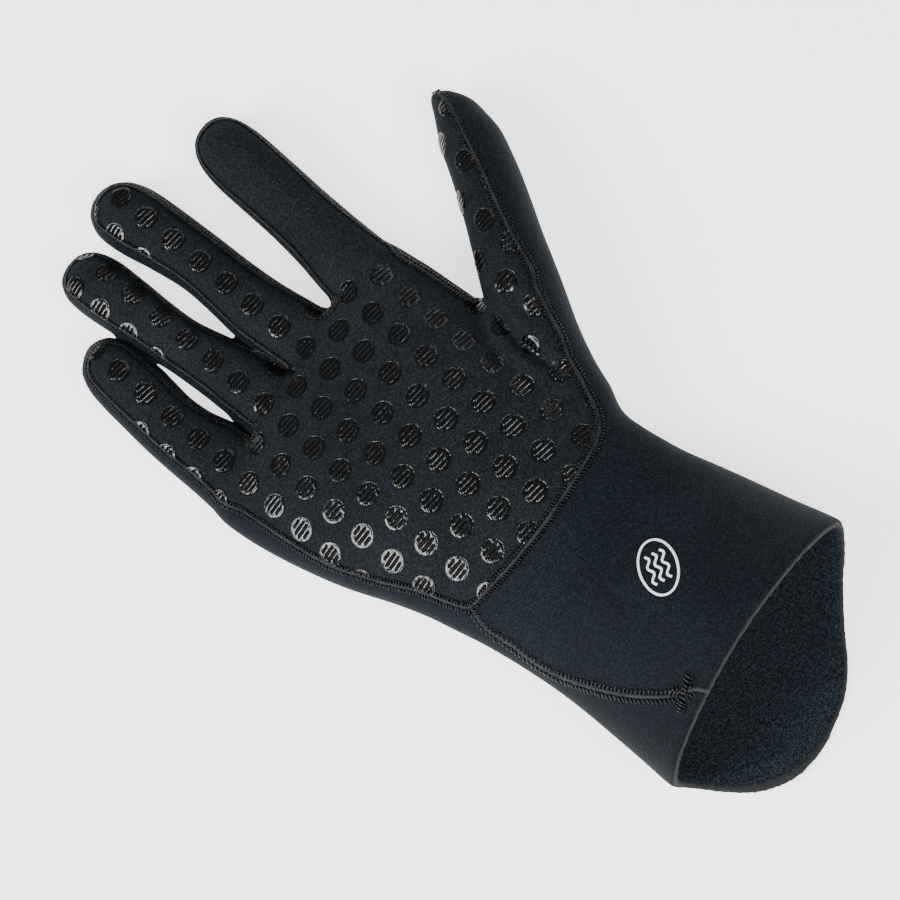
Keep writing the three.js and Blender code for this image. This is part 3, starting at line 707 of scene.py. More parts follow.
@dataclass
class GloveForm:
    """The glove as distance fields on one block of points, the given step apart.

    Sizes are in millimetres. seam_tilt is in degrees, and front_past_roots and front_least_height are
    shares of the palm's length and height.
    """

    step: float
    between_fingers: float = 1.2
    finger_roots: float = 4.5
    thumb_root: GrowingReach = GrowingReach(6.0, 0.7, 4.5, 14.0)
    thumb_seam: GrowingReach = GrowingReach(3.0, 0.9, 2.0, 14.0)
    seam_corner: GrowingReach = GrowingReach(1.0, 0.15, 1.0, 6.0)
    sole_edge: float = 1.2
    tube_end: float = 5.0
    seam_tilt: float = 48.0
    front_past_roots: float = 0.02
    front_least_height: float = 0.35
    seam_step: float = 0.5
    seam_run_out: float = 300.0
    run_out_points: int = 150
    crease_step: float = 1.0
    crease_fade: float = 0.6
    crease_floor: float = 12.0
    crease_rise: float = 8.0
    dent_depth: float = 0.3
    dent_width: float = 8.5
    dent_length: float = 11.0
    dent_start: float = 1.3
    dent_sway: float = 0.7
    dent_sway_length: float = 17.0

    def __post_init__(self) -> None:
        """Works out every field."""
        self.space = Space(BLOCK_LOW, BLOCK_HIGH, self.step)
        whole = tuple(slice(0, n) for n in self.space.shape)
        x, y, z = self.space.points(whole)
        self.outer = self._tube(x, y, z, 0.0)
        self.inner = self._tube(x, y, z, SIZES.wall)
        fingers = np.full(self.space.shape, FAR_AWAY)
        self.front = self._palm_front(x, y, z)
        for finger in FINGERS.values():
            part, edge = self._digit_block(finger)
            fingers[part] = joined_softly(fingers[part], edge, self.between_fingers)
            front = finger.front(*self.space.points(part), edge)
            self.front[part] = np.maximum(self.front[part], front)
        self.outer = joined_softly(self.outer, fingers, self.finger_roots)
        self.inner = joined_softly(self.inner, fingers + SIZES.wall, self.finger_roots)
        self._join_thumb()
        before_wrist = self._before_wrist_seam()[:, :, None]
        self.front = joined_softly(self.front, before_wrist, self.seam_corner.at(x))
        folds = self._folds(x, y, z)
        self.outer, self.inner = self.outer + folds, self.inner + folds
        below = np.broadcast_to(-z, self.space.shape)
        self.outer = cut_softly(self.outer, below, self.sole_edge)
        self.rim = self._rim(x, y, z)
        self.slope = np.stack(np.gradient(self.outer, self.step), axis=-1)

    def _join_thumb(self) -> None:
        """Joins the thumb to the hand, its hollow and its share of the palm panel with it."""
        part, edge = self._digit_block(THUMB)
        spot = self.space.points(part)
        _, across = THUMB.place(spot[0], spot[1])
        fillet = self.thumb_root.at(across)
        self.outer[part] = joined_softly(self.outer[part], edge, fillet)
        self.inner[part] = joined_softly(self.inner[part], edge + SIZES.wall, fillet)
        front = THUMB.front(*spot, edge)
        self.front[part] = cut_softly(self.front[part], front, self.thumb_seam.at(across))

    def _tube(self, x: np.ndarray, y: np.ndarray, z: np.ndarray, inset: float) -> np.ndarray:
        """Distance from the hand tube, inset from its outer face.

        Args:
            x: Places along x.
            y: Places along y.
            z: Places along z.
            inset: How far in from the outer face.

        Returns:
            The distance, less than 0 inside.
        """
        ulnar, radial, height = (BODY.read(name, y) for name in ("ulnar", "radial", "height"))
        belt = BODY.read("belt", y) * height
        rise = z - belt
        power = np.where(rise >= 0.0, BODY.read("top", y), BODY.read("floor", y))
        down = (belt - inset) * (1.0 + SIZES.pressed_flat)
        tall = np.where(rise >= 0.0, height - belt - inset, down)
        edge = oval_distance(x - (ulnar + radial) / 2, rise, (radial - ulnar) / 2 - inset, tall, power)
        end = np.broadcast_to(y - BODY_END + inset, edge.shape)
        return cut_softly(edge, end, self.tube_end)

    def _digit_block(self, digit: Digit) -> tuple[tuple[slice, slice, slice], np.ndarray]:
        """The block of points round a digit, and the distances from it there.

        Args:
            digit: The finger or the thumb.

        Returns:
            The block's slices, and the distances, less than 0 inside.
        """
        ends = [np.array(digit.root) + digit.way * t for t in (digit.sections.place[0], digit.length)]
        low = np.append(np.min(ends, axis=0) - FAR_AWAY, self.space.low[2])
        high = np.append(np.max(ends, axis=0) + FAR_AWAY, self.space.axes[2][-1])
        part = self.space.block(low, high)
        edge = digit.distance(*self.space.points(part))
        return part, np.minimum(true_slope(edge, self.space.step), FAR_AWAY)

    def _palm_front(self, x: np.ndarray, y: np.ndarray, z: np.ndarray) -> np.ndarray:
        """How far points lie inside the palm's share of the palm panel.

        Args:
            x: Places along x.
            y: Places along y.
            z: Places along z.

        Returns:
            The distance, more than 0 in front of the seams.
        """
        along = -y / SIZES.palm_length
        half = SIZES.palm_width / 2
        left, right = (PALM_SEAMS.read(name, along) * half for name in ("ulnar", "radial"))
        tilt = math.radians(self.seam_tilt)
        from_left = (x - left) * math.sin(tilt) + (z - self.top_height(left, y)) * math.cos(tilt)
        from_right = (right - x) * math.sin(tilt) + (z - self.top_height(right, y)) * math.cos(tilt)
        sides = np.minimum(from_left, from_right)
        before_end = self.front_past_roots * SIZES.palm_length - y
        above = z - self.front_least_height * SIZES.palm_height
        return np.minimum(np.minimum(sides, before_end), above)

    @staticmethod
    def top_height(x: np.ndarray, y: np.ndarray) -> np.ndarray:
        """Height of the hand tube's outer face over places on its palm side.

        Args:
            x: Places across the tube.
            y: Places along it.

        Returns:
            The height at each place.
        """
        ulnar, radial, height = (BODY.read(name, y) for name in ("ulnar", "radial", "height"))
        share = np.clip(np.abs(x - (ulnar + radial) / 2) / ((radial - ulnar) / 2), 0.0, 1.0)
        belt, top = BODY.read("belt", y) * height, BODY.read("top", y)
        return belt + (height - belt) * (1.0 - share**top) ** (1.0 / top)

    def _before_wrist_seam(self) -> np.ndarray:
        """Distance in plan from the wrist seam, more than 0 on the fingers' side.

        Returns:
            The distance at each x and y of the block.
        """
        corners = [(a * SIZES.palm_width / 2, -b * SIZES.palm_length) for a, b in WRIST_SEAM]
        line = smooth_line(np.array(corners), self.seam_step)
        run_out = np.linspace(0.0, self.seam_run_out, self.run_out_points)[1:, None]
        ends = run_out * np.array([[1.0, 0.0]])
        line = np.concatenate([(line[0] - ends)[::-1], line, line[-1] + ends])
        way = np.gradient(line, axis=0)
        normal = np.stack([-way[:, 1], way[:, 0]], axis=1)
        normal /= np.linalg.norm(normal, axis=1)[:, None]
        x, y = self.space.axes[0], self.space.axes[1]
        result = np.empty((len(x), len(y)))
        for i, place in enumerate(x):
            across = np.broadcast_to(place - line[:, 0], (len(y), len(line)))
            away = np.stack([across, y[:, None] - line[:, 1]], axis=-1)
            far = (away**2).sum(axis=-1)
            nearest = far.argmin(axis=1)
            rows = np.arange(len(y))
            ahead = (away[rows, nearest] * normal[nearest]).sum(axis=1)
            result[i] = np.sign(ahead) * np.sqrt(far[rows, nearest])
        return result

    def _folds(self, x: np.ndarray, y: np.ndarray, z: np.ndarray) -> np.ndarray:
        """How deep the creases and the soft dents press the palm's side, everywhere on the block.

        Args:
            x: Places along x.
            y: Places along y.
            z: Places along z.

        Returns:
            The depth at each point.
        """
        plan = np.zeros((len(self.space.axes[0]), len(self.space.axes[1]), 1))
        for crease in CREASES:
            line = smooth_line(np.array(crease.corners), self.crease_step)
            fade = np.sin(np.linspace(0.0, math.pi, len(line))) ** self.crease_fade
            pressed = np.zeros(plan.shape)
            for corner, share in zip(line, fade):
                away = np.hypot(x - corner[0], y - corner[1])
                pressed = np.maximum(pressed, share * np.exp(-((away / crease.width) ** 2)))
            plan = plan + crease.depth * pressed
        sway = self.dent_sway * np.sin(y / self.dent_sway_length)
        rows = np.sin(y / self.dent_length + self.dent_start)
        dents = self.dent_depth * np.sin(x / self.dent_width + sway) * rows
        return plan * np.clip((z - self.crease_floor) / self.crease_rise, 0.0, 1.0) + dents

    def _rim(self, x: np.ndarray, y: np.ndarray, z: np.ndarray) -> np.ndarray:
        """Distance past the cut edge of the mouth, less than 0 on the glove's side.

        Args:
            x: Places along x.
            y: Places along y.
            z: Places along z.

        Returns:
            The distance at each point.
        """
        start, _, _, tall = Stretch.MOUTH.value
        at = np.array([start])
        ulnar, radial = (float(BODY.read(name, at)[0]) for name in ("ulnar", "radial"))
        share = (x - (ulnar + radial) / 2) / ((radial - ulnar) / 2)
        reach = RIM_LOBE.read("reach", share) * SIZES.back_rim_reach
        low = np.clip(z / (SIZES.rim_corner * tall), 0.0, 1.0)
        cut = start - reach * (0.5 + 0.5 * np.cos(math.pi * low))
        return true_slope(np.broadcast_to(cut - y, self.space.shape), self.space.step)

    def normals(self, places: np.ndarray) -> np.ndarray:
        """The way out of the outer face near each place."""
        slope = self.space.sample(self.slope, places)
        return slope / np.maximum(np.linalg.norm(slope, axis=1), TINY)[:, None]

    def onto_face(self, places: np.ndarray) -> np.ndarray:
        """Moves places to the nearest points of the outer face.

        Args:
            places: Places near the face, one a row.

        Returns:
            The points on the face.
        """
        found = places.copy()
        for _ in range(FACE_ROUNDS):
            away = self.space.sample(self.outer, found)
            found = found - self.normals(found) * away[:, None]
        return found

    def cast(self, starts: np.ndarray, ways: np.ndarray) -> np.ndarray:
        """Follows lines to the outer face.

        Args:
            starts: Where each line starts, outside the glove.
            ways: The way of each line, of length 1.

        Returns:
            Where each line meets the outer face.
        """
        travel = np.zeros(len(starts))
        for _ in range(CAST_ROUNDS):
            travel += CAST_SHARE * self.space.sample(self.outer, starts + ways * travel[:, None])
        return starts + ways * travel[:, None]

    def drop(self, plan: np.ndarray) -> np.ndarray:
        """Where plumb lines from above through points in plan meet the outer face."""
        starts = np.concatenate([plan, np.full((len(plan), 1), ABOVE_GLOVE)], axis=1)
        return self.cast(starts, np.repeat([[0.0, 0.0, -1.0]], len(plan), axis=0))


def smooth_line(corners: np.ndarray, step: float) -> np.ndarray:
    """Draws a smooth line through points.

    Args:
        corners: The points, one a row.
        step: Spacing of the line's own points.

    Returns:
        The line's points, evenly spaced.
    """
    before = np.vstack([2 * corners[0] - corners[1], corners[:-1]])
    after = np.vstack([corners[1:], 2 * corners[-1] - corners[-2]])
    slopes = (after - before) / 2
    dense = []
    for i in range(len(corners) - 1):
        u = np.linspace(0.0, 1.0, POINTS_A_SPAN, endpoint=i == len(corners) - 2)[:, None]
        rise = u * u * (3 - 2 * u)
        leave, arrive = u * (1 - u) ** 2 * slopes[i], u * u * (1 - u) * slopes[i + 1]
        dense.append(corners[i] * (1 - rise) + corners[i + 1] * rise + leave - arrive)
    return evenly(np.vstack(dense), step)


def evenly(line: np.ndarray, step: float) -> np.ndarray:
    """Spaces the points of a line evenly, at about the given step.

    Args:
        line: The line's points, one a row.
        step: Spacing that the new points come near to.

    Returns:
        The new points, with the same ends.
    """
    gaps = np.linalg.norm(np.diff(line, axis=0), axis=1)
    run = np.concatenate([[0.0], np.cumsum(gaps)])
    count = max(int(round(run[-1] / step)), 2) + 1
    at = np.linspace(0.0, run[-1], count)
    return np.stack([np.interp(at, run, line[:, k]) for k in range(line.shape[1])], axis=1)


def surface_net(values: np.ndarray, low: np.ndarray, step: float) -> tuple[np.ndarray, np.ndarray]:
    """Finds the surface where a field is 0.

    Args:
        values: The field, more than 0 all round its block.
        low: The block's lowest corner.
        step: Spacing of the field's points.

    Returns:
        The surface's vertices and its quads, faces out.
    """
    inside = values < 0.0
    n = np.array(values.shape) - 1
    count = np.zeros(n, np.uint8)
    for corner in np.ndindex(2, 2, 2):
        a, b, c = corner
        count += inside[a : a + n[0], b : b + n[1], c : c + n[2]]
    mixed = (count > 0) & (count < 8)
    cells = np.argwhere(mixed)
    number = np.full(mixed.shape, -1, np.int64)
    number[mixed] = np.arange(len(cells))
    total, hits = np.zeros((len(cells), 3)), np.zeros(len(cells))
    for axis in range(3):
        others = [k for k in range(3) if k != axis]
        for first, second in np.ndindex(2, 2):
            offset = np.zeros(3, int)
            offset[others[0]], offset[others[1]] = first, second
            start = cells + offset
            finish = start.copy()
            finish[:, axis] += 1
            v0, v1 = values[tuple(start.T)], values[tuple(finish.T)]
            cross = (v0 < 0.0) != (v1 < 0.0)
            place = np.repeat(offset[None, :].astype(float), cross.sum(), axis=0)
            place[:, axis] += v0[cross] / (v0[cross] - v1[cross])
            total[cross] += place
            hits[cross] += 1
    vertices = low + step * (cells + total / hits[:, None])
    quads = []
    for axis in range(3):
        one, two = (axis + 1) % 3, (axis + 2) % 3
        behind = [slice(1, -1)] * 3
        ahead = [slice(1, -1)] * 3
        behind[axis], ahead[axis] = slice(0, -1), slice(1, None)
        v0, v1 = inside[tuple(behind)], inside[tuple(ahead)]
        spots = np.argwhere(v0 != v1)
        outward = v0[tuple(spots.T)]
        spots[:, one] += 1
        spots[:, two] += 1
        ring = []
        for back_one, back_two in ((0, 0), (1, 0), (1, 1), (0, 1)):
            cell = spots.copy()
            cell[:, one] -= back_one
            cell[:, two] -= back_two
            ring.append(number[tuple(cell.T)])
        faces = np.stack(ring, axis=1)
        faces[~outward] = faces[~outward][:, ::-1]
        quads.append(faces)
    return vertices, np.concatenate(quads)


def zero_lines(vertices: np.ndarray, quads: np.ndarray, level: np.ndarray) -> list[np.ndarray]:
    """Traces the lines of a surface where a number given at its vertices is 0.

    Args:
        vertices: The surface's vertices.
        quads: Its quads.
        level: The number at each vertex.

    Returns:
        The lines, longest first; a closed line ends at its first point.
    """
    above = level > 0.0
    mixed = quads[(above[quads].sum(axis=1) % 4) != 0]
    joins: dict[tuple[int, int], list[tuple[int, int]]] = {}
    for face in mixed:
        ends = []
        for a, b in zip(face, np.roll(face, -1)):
            if above[a] != above[b]:
                ends.append((int(min(a, b)), int(max(a, b))))
        for first, second in zip(ends[::2], ends[1::2]):
            joins.setdefault(first, []).append(second)
            joins.setdefault(second, []).append(first)
    lines = []
    while joins:
        start = next((key for key, near in joins.items() if len(near) == 1), next(iter(joins)))
        chain, here = [start], start
        while joins.get(here):
            there = joins[here].pop()
            joins[there].remove(here)
            if not joins[here]:
                del joins[here]
            chain.append(there)
            here = there
        joins.pop(here, None)
        a, b = np.array(chain).T
        share = (level[a] / (level[a] - level[b]))[:, None]
        lines.append(vertices[a] * (1 - share) + vertices[b] * share)
    return sorted(lines, key=len, reverse=True)


class Value:
    """A number that a material works with; sums with it add Math nodes."""

    def __init__(self, board: "NodeBoard", socket: bpy.types.NodeSocket) -> None:
        """Wraps an output socket of a board."""
        self.board = board
        self.socket = socket

    def _with(self, operation: str, *others: "Value | float") -> "Value":
        """Adds one Math node with this value first."""
        return self.board.math(operation, self, *others)

    def __add__(self, other: "Value | float") -> "Value":
        """Adds."""
        return self._with("ADD", other)

    __radd__ = __add__

    def __sub__(self, other: "Value | float") -> "Value":
        """Takes away."""
        return self._with("SUBTRACT", other)

    def __rsub__(self, other: float) -> "Value":
        """Is taken away from a number."""
        return self.board.math("SUBTRACT", other, self)

    def __mul__(self, other: "Value | float") -> "Value":
        """Multiplies."""
        return self._with("MULTIPLY", other)

    __rmul__ = __mul__

    def sine(self) -> "Value":
        """The sine of the value."""
        return self._with("SINE")

    def between(self, low: float, high: float) -> "Value":
        """0 at one end of a span, 1 at the other, smooth between, held past the ends.

        Args:
            low: Where the span starts.
            high: Where it ends.

        Returns:
            The share.
        """
        made = self.board.node(
            "ShaderNodeMapRange",
            {"interpolation_type": "SMOOTHSTEP"},
            {"Value": self, "From Min": low, "From Max": high},
        )
        return Value(self.board, made.outputs["Result"])


class NodeBoard:
    """The nodes of one material."""

    def __init__(self, name: str) -> None:
        """Makes an empty material with its output and its surface shader.

        Args:
            name: The material's name.
        """
        self.material = bpy.data.materials.new(name)
        self.material.use_nodes = True
        self.tree = self.material.node_tree
        self.tree.nodes.clear()
        self.surface = self.node("ShaderNodeBsdfPrincipled", {}, {})
        output = self.node("ShaderNodeOutputMaterial", {}, {})
        self.tree.links.new(self.surface.outputs["BSDF"], output.inputs["Surface"])
        self.place = self.node("ShaderNodeTexCoord", {}, {}).outputs["Object"]

    def axes(self) -> tuple[Value, ...]:
        """The place on the object along x, y and z, in millimetres."""
        parts = self.node("ShaderNodeSeparateXYZ", {}, {"Vector": self.place})
        return tuple(Value(self, parts.outputs[k]) * MM_A_METRE for k in ("X", "Y", "Z"))

    def node(self, kind: str, settings: dict[str, object], inputs: dict[str, object]) -> bpy.types.Node:
        """Adds one node.

        Args:
            kind: The node's type.
            settings: Its settings, which are set first.
            inputs: Values or links for its sockets, by name or number.

        Returns:
            The node.
        """
        made = self.tree.nodes.new(kind)
        for key, value in settings.items():
            setattr(made, key, value)
        for key, value in inputs.items():
            self.feed(made.inputs[key], value)
        return made

    def feed(self, socket: bpy.types.NodeSocket, value: object) -> None:
        """Links a value or a socket to a socket, or sets its number.

        Args:
            socket: The socket to feed.
            value: A value, a socket, a colour or a number.
        """
        if isinstance(value, Value):
            self.tree.links.new(value.socket, socket)
        elif isinstance(value, bpy.types.NodeSocket):
            self.tree.links.new(value, socket)
        elif isinstance(value, tuple) and len(value) == 3 and socket.type == "RGBA":
            socket.default_value = (*value, 1.0)
        else:
            socket.default_value = value

    def math(self, operation: str, *values: "Value | float") -> Value:
        """Adds one Math node and gives its result."""
        made = self.node("ShaderNodeMath", {"operation": operation}, dict(enumerate(values)))
        return Value(self, made.outputs[0])

    def noise(
        self,
        scale: float,
        detail: float = 2.0,
        roughness: float = 0.5,
        stretch: tuple[float, float, float] | None = None,
    ) -> Value:
        """Adds a noise.

        Args:
            scale: Grains in a metre.
            detail: Layers of finer noise.
            roughness: Weight of the finer layers.
            stretch: Scales along x, y and z, if the grain isn't even.

        Returns:
            The noise, 0 to 1.
        """
        place = self.place
        if stretch:
            scaled = self.node("ShaderNodeVectorMath", {"operation": "MULTIPLY"}, {0: place, 1: stretch})
            place = scaled.outputs["Vector"]
        inputs = {"Vector": place, "Scale": scale, "Detail": detail, "Roughness": roughness}
        made = self.node("ShaderNodeTexNoise", {}, inputs)
        return Value(self, made.outputs["Fac"])

    def attribute(self, name: str) -> Value:
        """Reads a number that the mesh carries at its points, 0 where it carries none."""
        return Value(self, self.node("ShaderNodeAttribute", {"attribute_name": name}, {}).outputs["Fac"])

    def edged(self, colour: object) -> bpy.types.NodeSocket:
        """Turns a colour into the cut foam's where the face runs into the cut edge."""
        return self.blend(self.attribute(CUT_EDGE).between(*EDGE_SPAN), colour, FOAM_COLOUR)

    def blend(self, share: Value, first: object, second: object) -> bpy.types.NodeSocket:
        """Mixes two colours by a share.

        Args:
            share: The second colour's share.
            first: The first colour.
            second: The second colour.

        Returns:
            The mixed colour.
        """
        share_socket, first_socket, second_socket, result_socket = 0, 6, 7, 2
        inputs = {share_socket: share, first_socket: first, second_socket: second}
        made = self.node("ShaderNodeMix", {"data_type": "RGBA"}, inputs)
        return made.outputs[result_socket]

    def bump(self, height: Value, distance: float, strength: float = 1.0) -> None:
        """Feeds a height in millimetres of the given distance to the surface's normal.

        Args:
            height: The height.
            distance: How far a height of 1 stands up, in millimetres.
            strength: How much of it shows.
        """
        inputs = {"Height": height, "Distance": distance * MM, "Strength": strength}
        made = self.node("ShaderNodeBump", {}, inputs)
        self.feed(self.surface.inputs["Normal"], made.outputs["Normal"])

    def set(self, **sockets: object) -> None:
        """Sets or links the surface shader's sockets, with _ for a space in a name."""
        for name, value in sockets.items():
            self.feed(self.surface.inputs[name.replace("_", " ")], value)


@dataclass(frozen=True)
class KnitFace:
    """Finish of the fine knit that faces the foam: grains in a metre, pitch and depth in millimetres."""

    name: str
    colour: tuple[float, float, float]
    lit: tuple[float, float, float]
    pitch: float = 0.78
    ior: float = 1.16
    wale_share: float = 0.8
    grain_scale: float = 1400.0
    cloud_scale: float = 26.0
    fleck_scale: float = 3200.0
    fleck_span: tuple[float, float] = (0.60, 0.76)
    darkening: float = 1.57
    depth: float = 0.16

    def make(self) -> bpy.types.Material:
        """Makes the material.

        Returns:
            The material.
        """
        board = NodeBoard(self.name)
        turn = 2.0 * math.pi / self.pitch
        x, y, z = board.axes()
        rows = ((x * 0.88 + y * 0.47 - z * 0.5) * turn).sine()
        wales = ((y * 0.88 - x * 0.47 - z * 0.6) * (turn * self.wale_share)).sine()
        loops = rows * wales * 0.5 + 0.5
        grain = board.noise(self.grain_scale, 4.0, 0.75)
        cloud = board.noise(self.cloud_scale, 3.0, 0.55)
        fleck = board.noise(self.fleck_scale, 1.0).between(*self.fleck_span)
        tone = loops * 0.12 + grain * 3.1 + cloud * 0.5 + fleck * 0.5 - self.darkening
        board.set(
            Base_Color=board.edged(board.blend(tone.between(0.0, 1.0), self.colour, self.lit)),
            Roughness=grain * 0.18 + 0.66,
            IOR=self.ior,
        )
        board.bump(loops * 0.15 + grain * 1.2, self.depth, 0.8)
        return board.material


@dataclass(frozen=True)
class PlushPile:
    """Finish of the short pile inside the glove."""

    name: str
    colour: tuple[float, float, float]
    fleck: tuple[float, float, float]
    tuft_scale: float = 1300.0
    fine_scale: float = 3000.0
    light_span: tuple[float, float] = (0.44, 0.76)
    depth: float = 0.6

    def make(self) -> bpy.types.Material:
        """Makes the material.

        Returns:
            The material.
        """
        board = NodeBoard(self.name)
        tufts = board.noise(self.tuft_scale, 3.0, 0.65)
        fine = board.noise(self.fine_scale, 2.0, 0.6)
        light = (tufts * 0.5 + fine * 0.6).between(*self.light_span)
        board.set(
            Base_Color=board.edged(board.blend(light, self.colour, self.fleck)),
            Roughness=0.95,
            IOR=1.1,
        )
        board.bump(tufts + fine * 0.6, self.depth, 0.8)
        return board.material


@dataclass(frozen=True)
class CutFoam:
    """Finish of the foam where it is cut."""

    name: str
    colour: tuple[float, float, float]
    pore: tuple[float, float, float]
    pore_scale: float = 1400.0
    cloud_scale: float = 90.0
    tone_span: tuple[float, float] = (0.45, 0.8)
    depth: float = 0.15

    def make(self) -> bpy.types.Material:
        """Makes the material.

        Returns:
            The material.
        """
        board = NodeBoard(self.name)
        pores = board.noise(self.pore_scale, 2.0, 0.6)
        cloud = board.noise(self.cloud_scale, 2.0, 0.5)
        tone = (pores * 0.8 + cloud * 0.4).between(*self.tone_span)
        board.set(
            Base_Color=board.blend(tone, self.pore, self.colour),
            Roughness=0.85,
            Specular_IOR_Level=0.15,
        )
        board.bump(pores, self.depth, 0.5)
        return board.material


@dataclass(frozen=True)
class PrintedGrip:
    """Finish of the thick glossy print."""

    name: str
    colour: tuple[float, float, float]
    crackle_scale: float = 1100.0
    crackle_stretch: tuple[float, float, float] = (0.4, 1.3, 1.0)
    swell_scale: float = 210.0
    depth: float = 0.42

    def make(self) -> bpy.types.Material:
        """Makes the material.

        Returns:
            The material.
        """
        board = NodeBoard(self.name)
        crackle = board.noise(self.crackle_scale, 2.0, 0.6, stretch=self.crackle_stretch)
        swell = board.noise(self.swell_scale, 1.0, 0.5)
        board.set(
            Base_Color=self.colour,
            Roughness=crackle * 0.16 + 0.08,
            Specular_IOR_Level=0.45,
        )
        board.bump(crackle * 0.4 + swell * 0.8, self.depth, 0.5)
        return board.material


@dataclass(frozen=True)
class Thread:
    """Finish of sewing thread or of the seam's cloth edge."""

    name: str
    colour: tuple[float, float, float]
    lit: tuple[float, float, float]
    roughness: float
    strand_scale: float = 2200.0
    wear_scale: float = 160.0
    tone_span: tuple[float, float] = (0.4, 0.85)
    depth: float = 0.08

    def make(self) -> bpy.types.Material:
        """Makes the material.

        Returns:
            The material.
        """
        board = NodeBoard(self.name)
        strands = board.noise(self.strand_scale, 2.0, 0.6)
        wear = board.noise(self.wear_scale, 2.0, 0.5)
        tone = (strands * 0.6 + wear * 0.6).between(*self.tone_span)
        board.set(
            Base_Color=board.blend(tone, self.colour, self.lit),
            Roughness=self.roughness,
            Specular_IOR_Level=0.22,
        )
        board.bump(strands, self.depth, 0.6)
        return board.material


@dataclass(frozen=True)
class PrintedInk:
    """Finish of the thin white print on the cuff."""

    name: str
    colour: tuple[float, float, float]
    cover_scale: float = 1300.0
    cover_span: tuple[float, float] = (0.3, 0.5)
    thin_share: float = 0.8
    depth: float = 0.05

    def make(self) -> bpy.types.Material:
        """Makes the material.

        Returns:
            The material.
        """
        board = NodeBoard(self.name)
        cover = board.noise(self.cover_scale, 2.0, 0.6)
        thin = tuple(c * self.thin_share for c in self.colour)
        board.set(
            Base_Color=board.blend(cover.between(*self.cover_span), thin, self.colour),
            Roughness=0.5,
        )
        board.bump(cover, self.depth, 0.4)
        return board.material


class Slot(Enum):
    """The record's material slots."""

    FRONT = "neoprene_front"
    BACK = "neoprene_back"
    PLUSH = "plush_lining"
    GRIP = "grip_print"
    THREAD = "seam_thread"
    RIDGE = "seam_ridge"
    FOAM = "cut_foam"
    INK = "white_print"


class Finishes:
    """The glove's finishes, one for each of the record's slots."""

    def __init__(self) -> None:
        """Makes every material once."""
        makers = {
            Slot.FRONT: KnitFace("front_knit", (0.0025, 0.0038, 0.005), (0.0168, 0.0226, 0.029)),
            Slot.BACK: KnitFace("back_knit", (0.0016, 0.0030, 0.0049), (0.0115, 0.018, 0.0255)),
            Slot.PLUSH: PlushPile("plush_pile", (0.002, 0.004, 0.006), (0.036, 0.048, 0.060)),
            Slot.GRIP: PrintedGrip("grip_rubber", (0.0008, 0.0009, 0.001)),
            Slot.THREAD: Thread("black_thread", (0.0004, 0.0005, 0.0006), (0.002, 0.0025, 0.003), 0.3),
            Slot.RIDGE: Thread("worn_edge", (0.003, 0.004, 0.0055), (0.020, 0.025, 0.030), 0.65),
            Slot.FOAM: CutFoam("cut_foam", FOAM_COLOUR, (0.012, 0.0125, 0.013)),
            Slot.INK: PrintedInk("white_ink", (0.82, 0.84, 0.85)),
        }
        self.material = {slot: maker.make() for slot, maker in makers.items()}


def add_piece(
    name: str,
    vertices: np.ndarray,
    faces: np.ndarray,
    slot: Slot,
    finishes: Finishes,
    regions: tuple[np.ndarray, list[Slot]] | None = None,
    cut_edge: np.ndarray | None = None,
) -> bpy.types.Object:
    """Adds one piece of the glove to the scene.

    Args:
        name: The piece's name.
        vertices: Its vertices in the palm frame, in millimetres.
        faces: Its faces, all triangles or all quads.
        slot: The record's slot that it takes its finish from.
        finishes: The materials.
        regions: For a piece with more finishes, each face's number and the slots they stand for.
        cut_edge: How far each vertex belongs to a cut edge, from 0 to 1.

    Returns:
        The piece, riding on the one body.
    """
    mesh = bpy.data.meshes.new(name)
    size = faces.shape[1]
    mesh.vertices.add(len(vertices))
    mesh.vertices.foreach_set("co", SIZES.to_frame(vertices).astype(np.float32).ravel())
    mesh.loops.add(faces.size)
    mesh.loops.foreach_set("vertex_index", faces.astype(np.int32).ravel())
    mesh.polygons.add(len(faces))
    mesh.polygons.foreach_set("loop_start", np.arange(0, faces.size, size, dtype=np.int32))
    mesh.polygons.foreach_set("use_smooth", np.ones(len(faces), bool))
    for used in regions[1] if regions else [slot]:
        mesh.materials.append(finishes.material[used])
    if regions:
        mesh.polygons.foreach_set("material_index", regions[0].astype(np.int32))
    if cut_edge is not None:
        carried = mesh.attributes.new(CUT_EDGE, "FLOAT", "POINT")
        carried.data.foreach_set("value", cut_edge.astype(np.float32))
    mesh.update(calc_edges=True)
    piece = bpy.data.objects.new(name, mesh)
    bpy.context.scene.collection.objects.link(piece)
    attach(piece, "root")
    LOG.info("%s: %d faces", name, len(faces))
    return piece


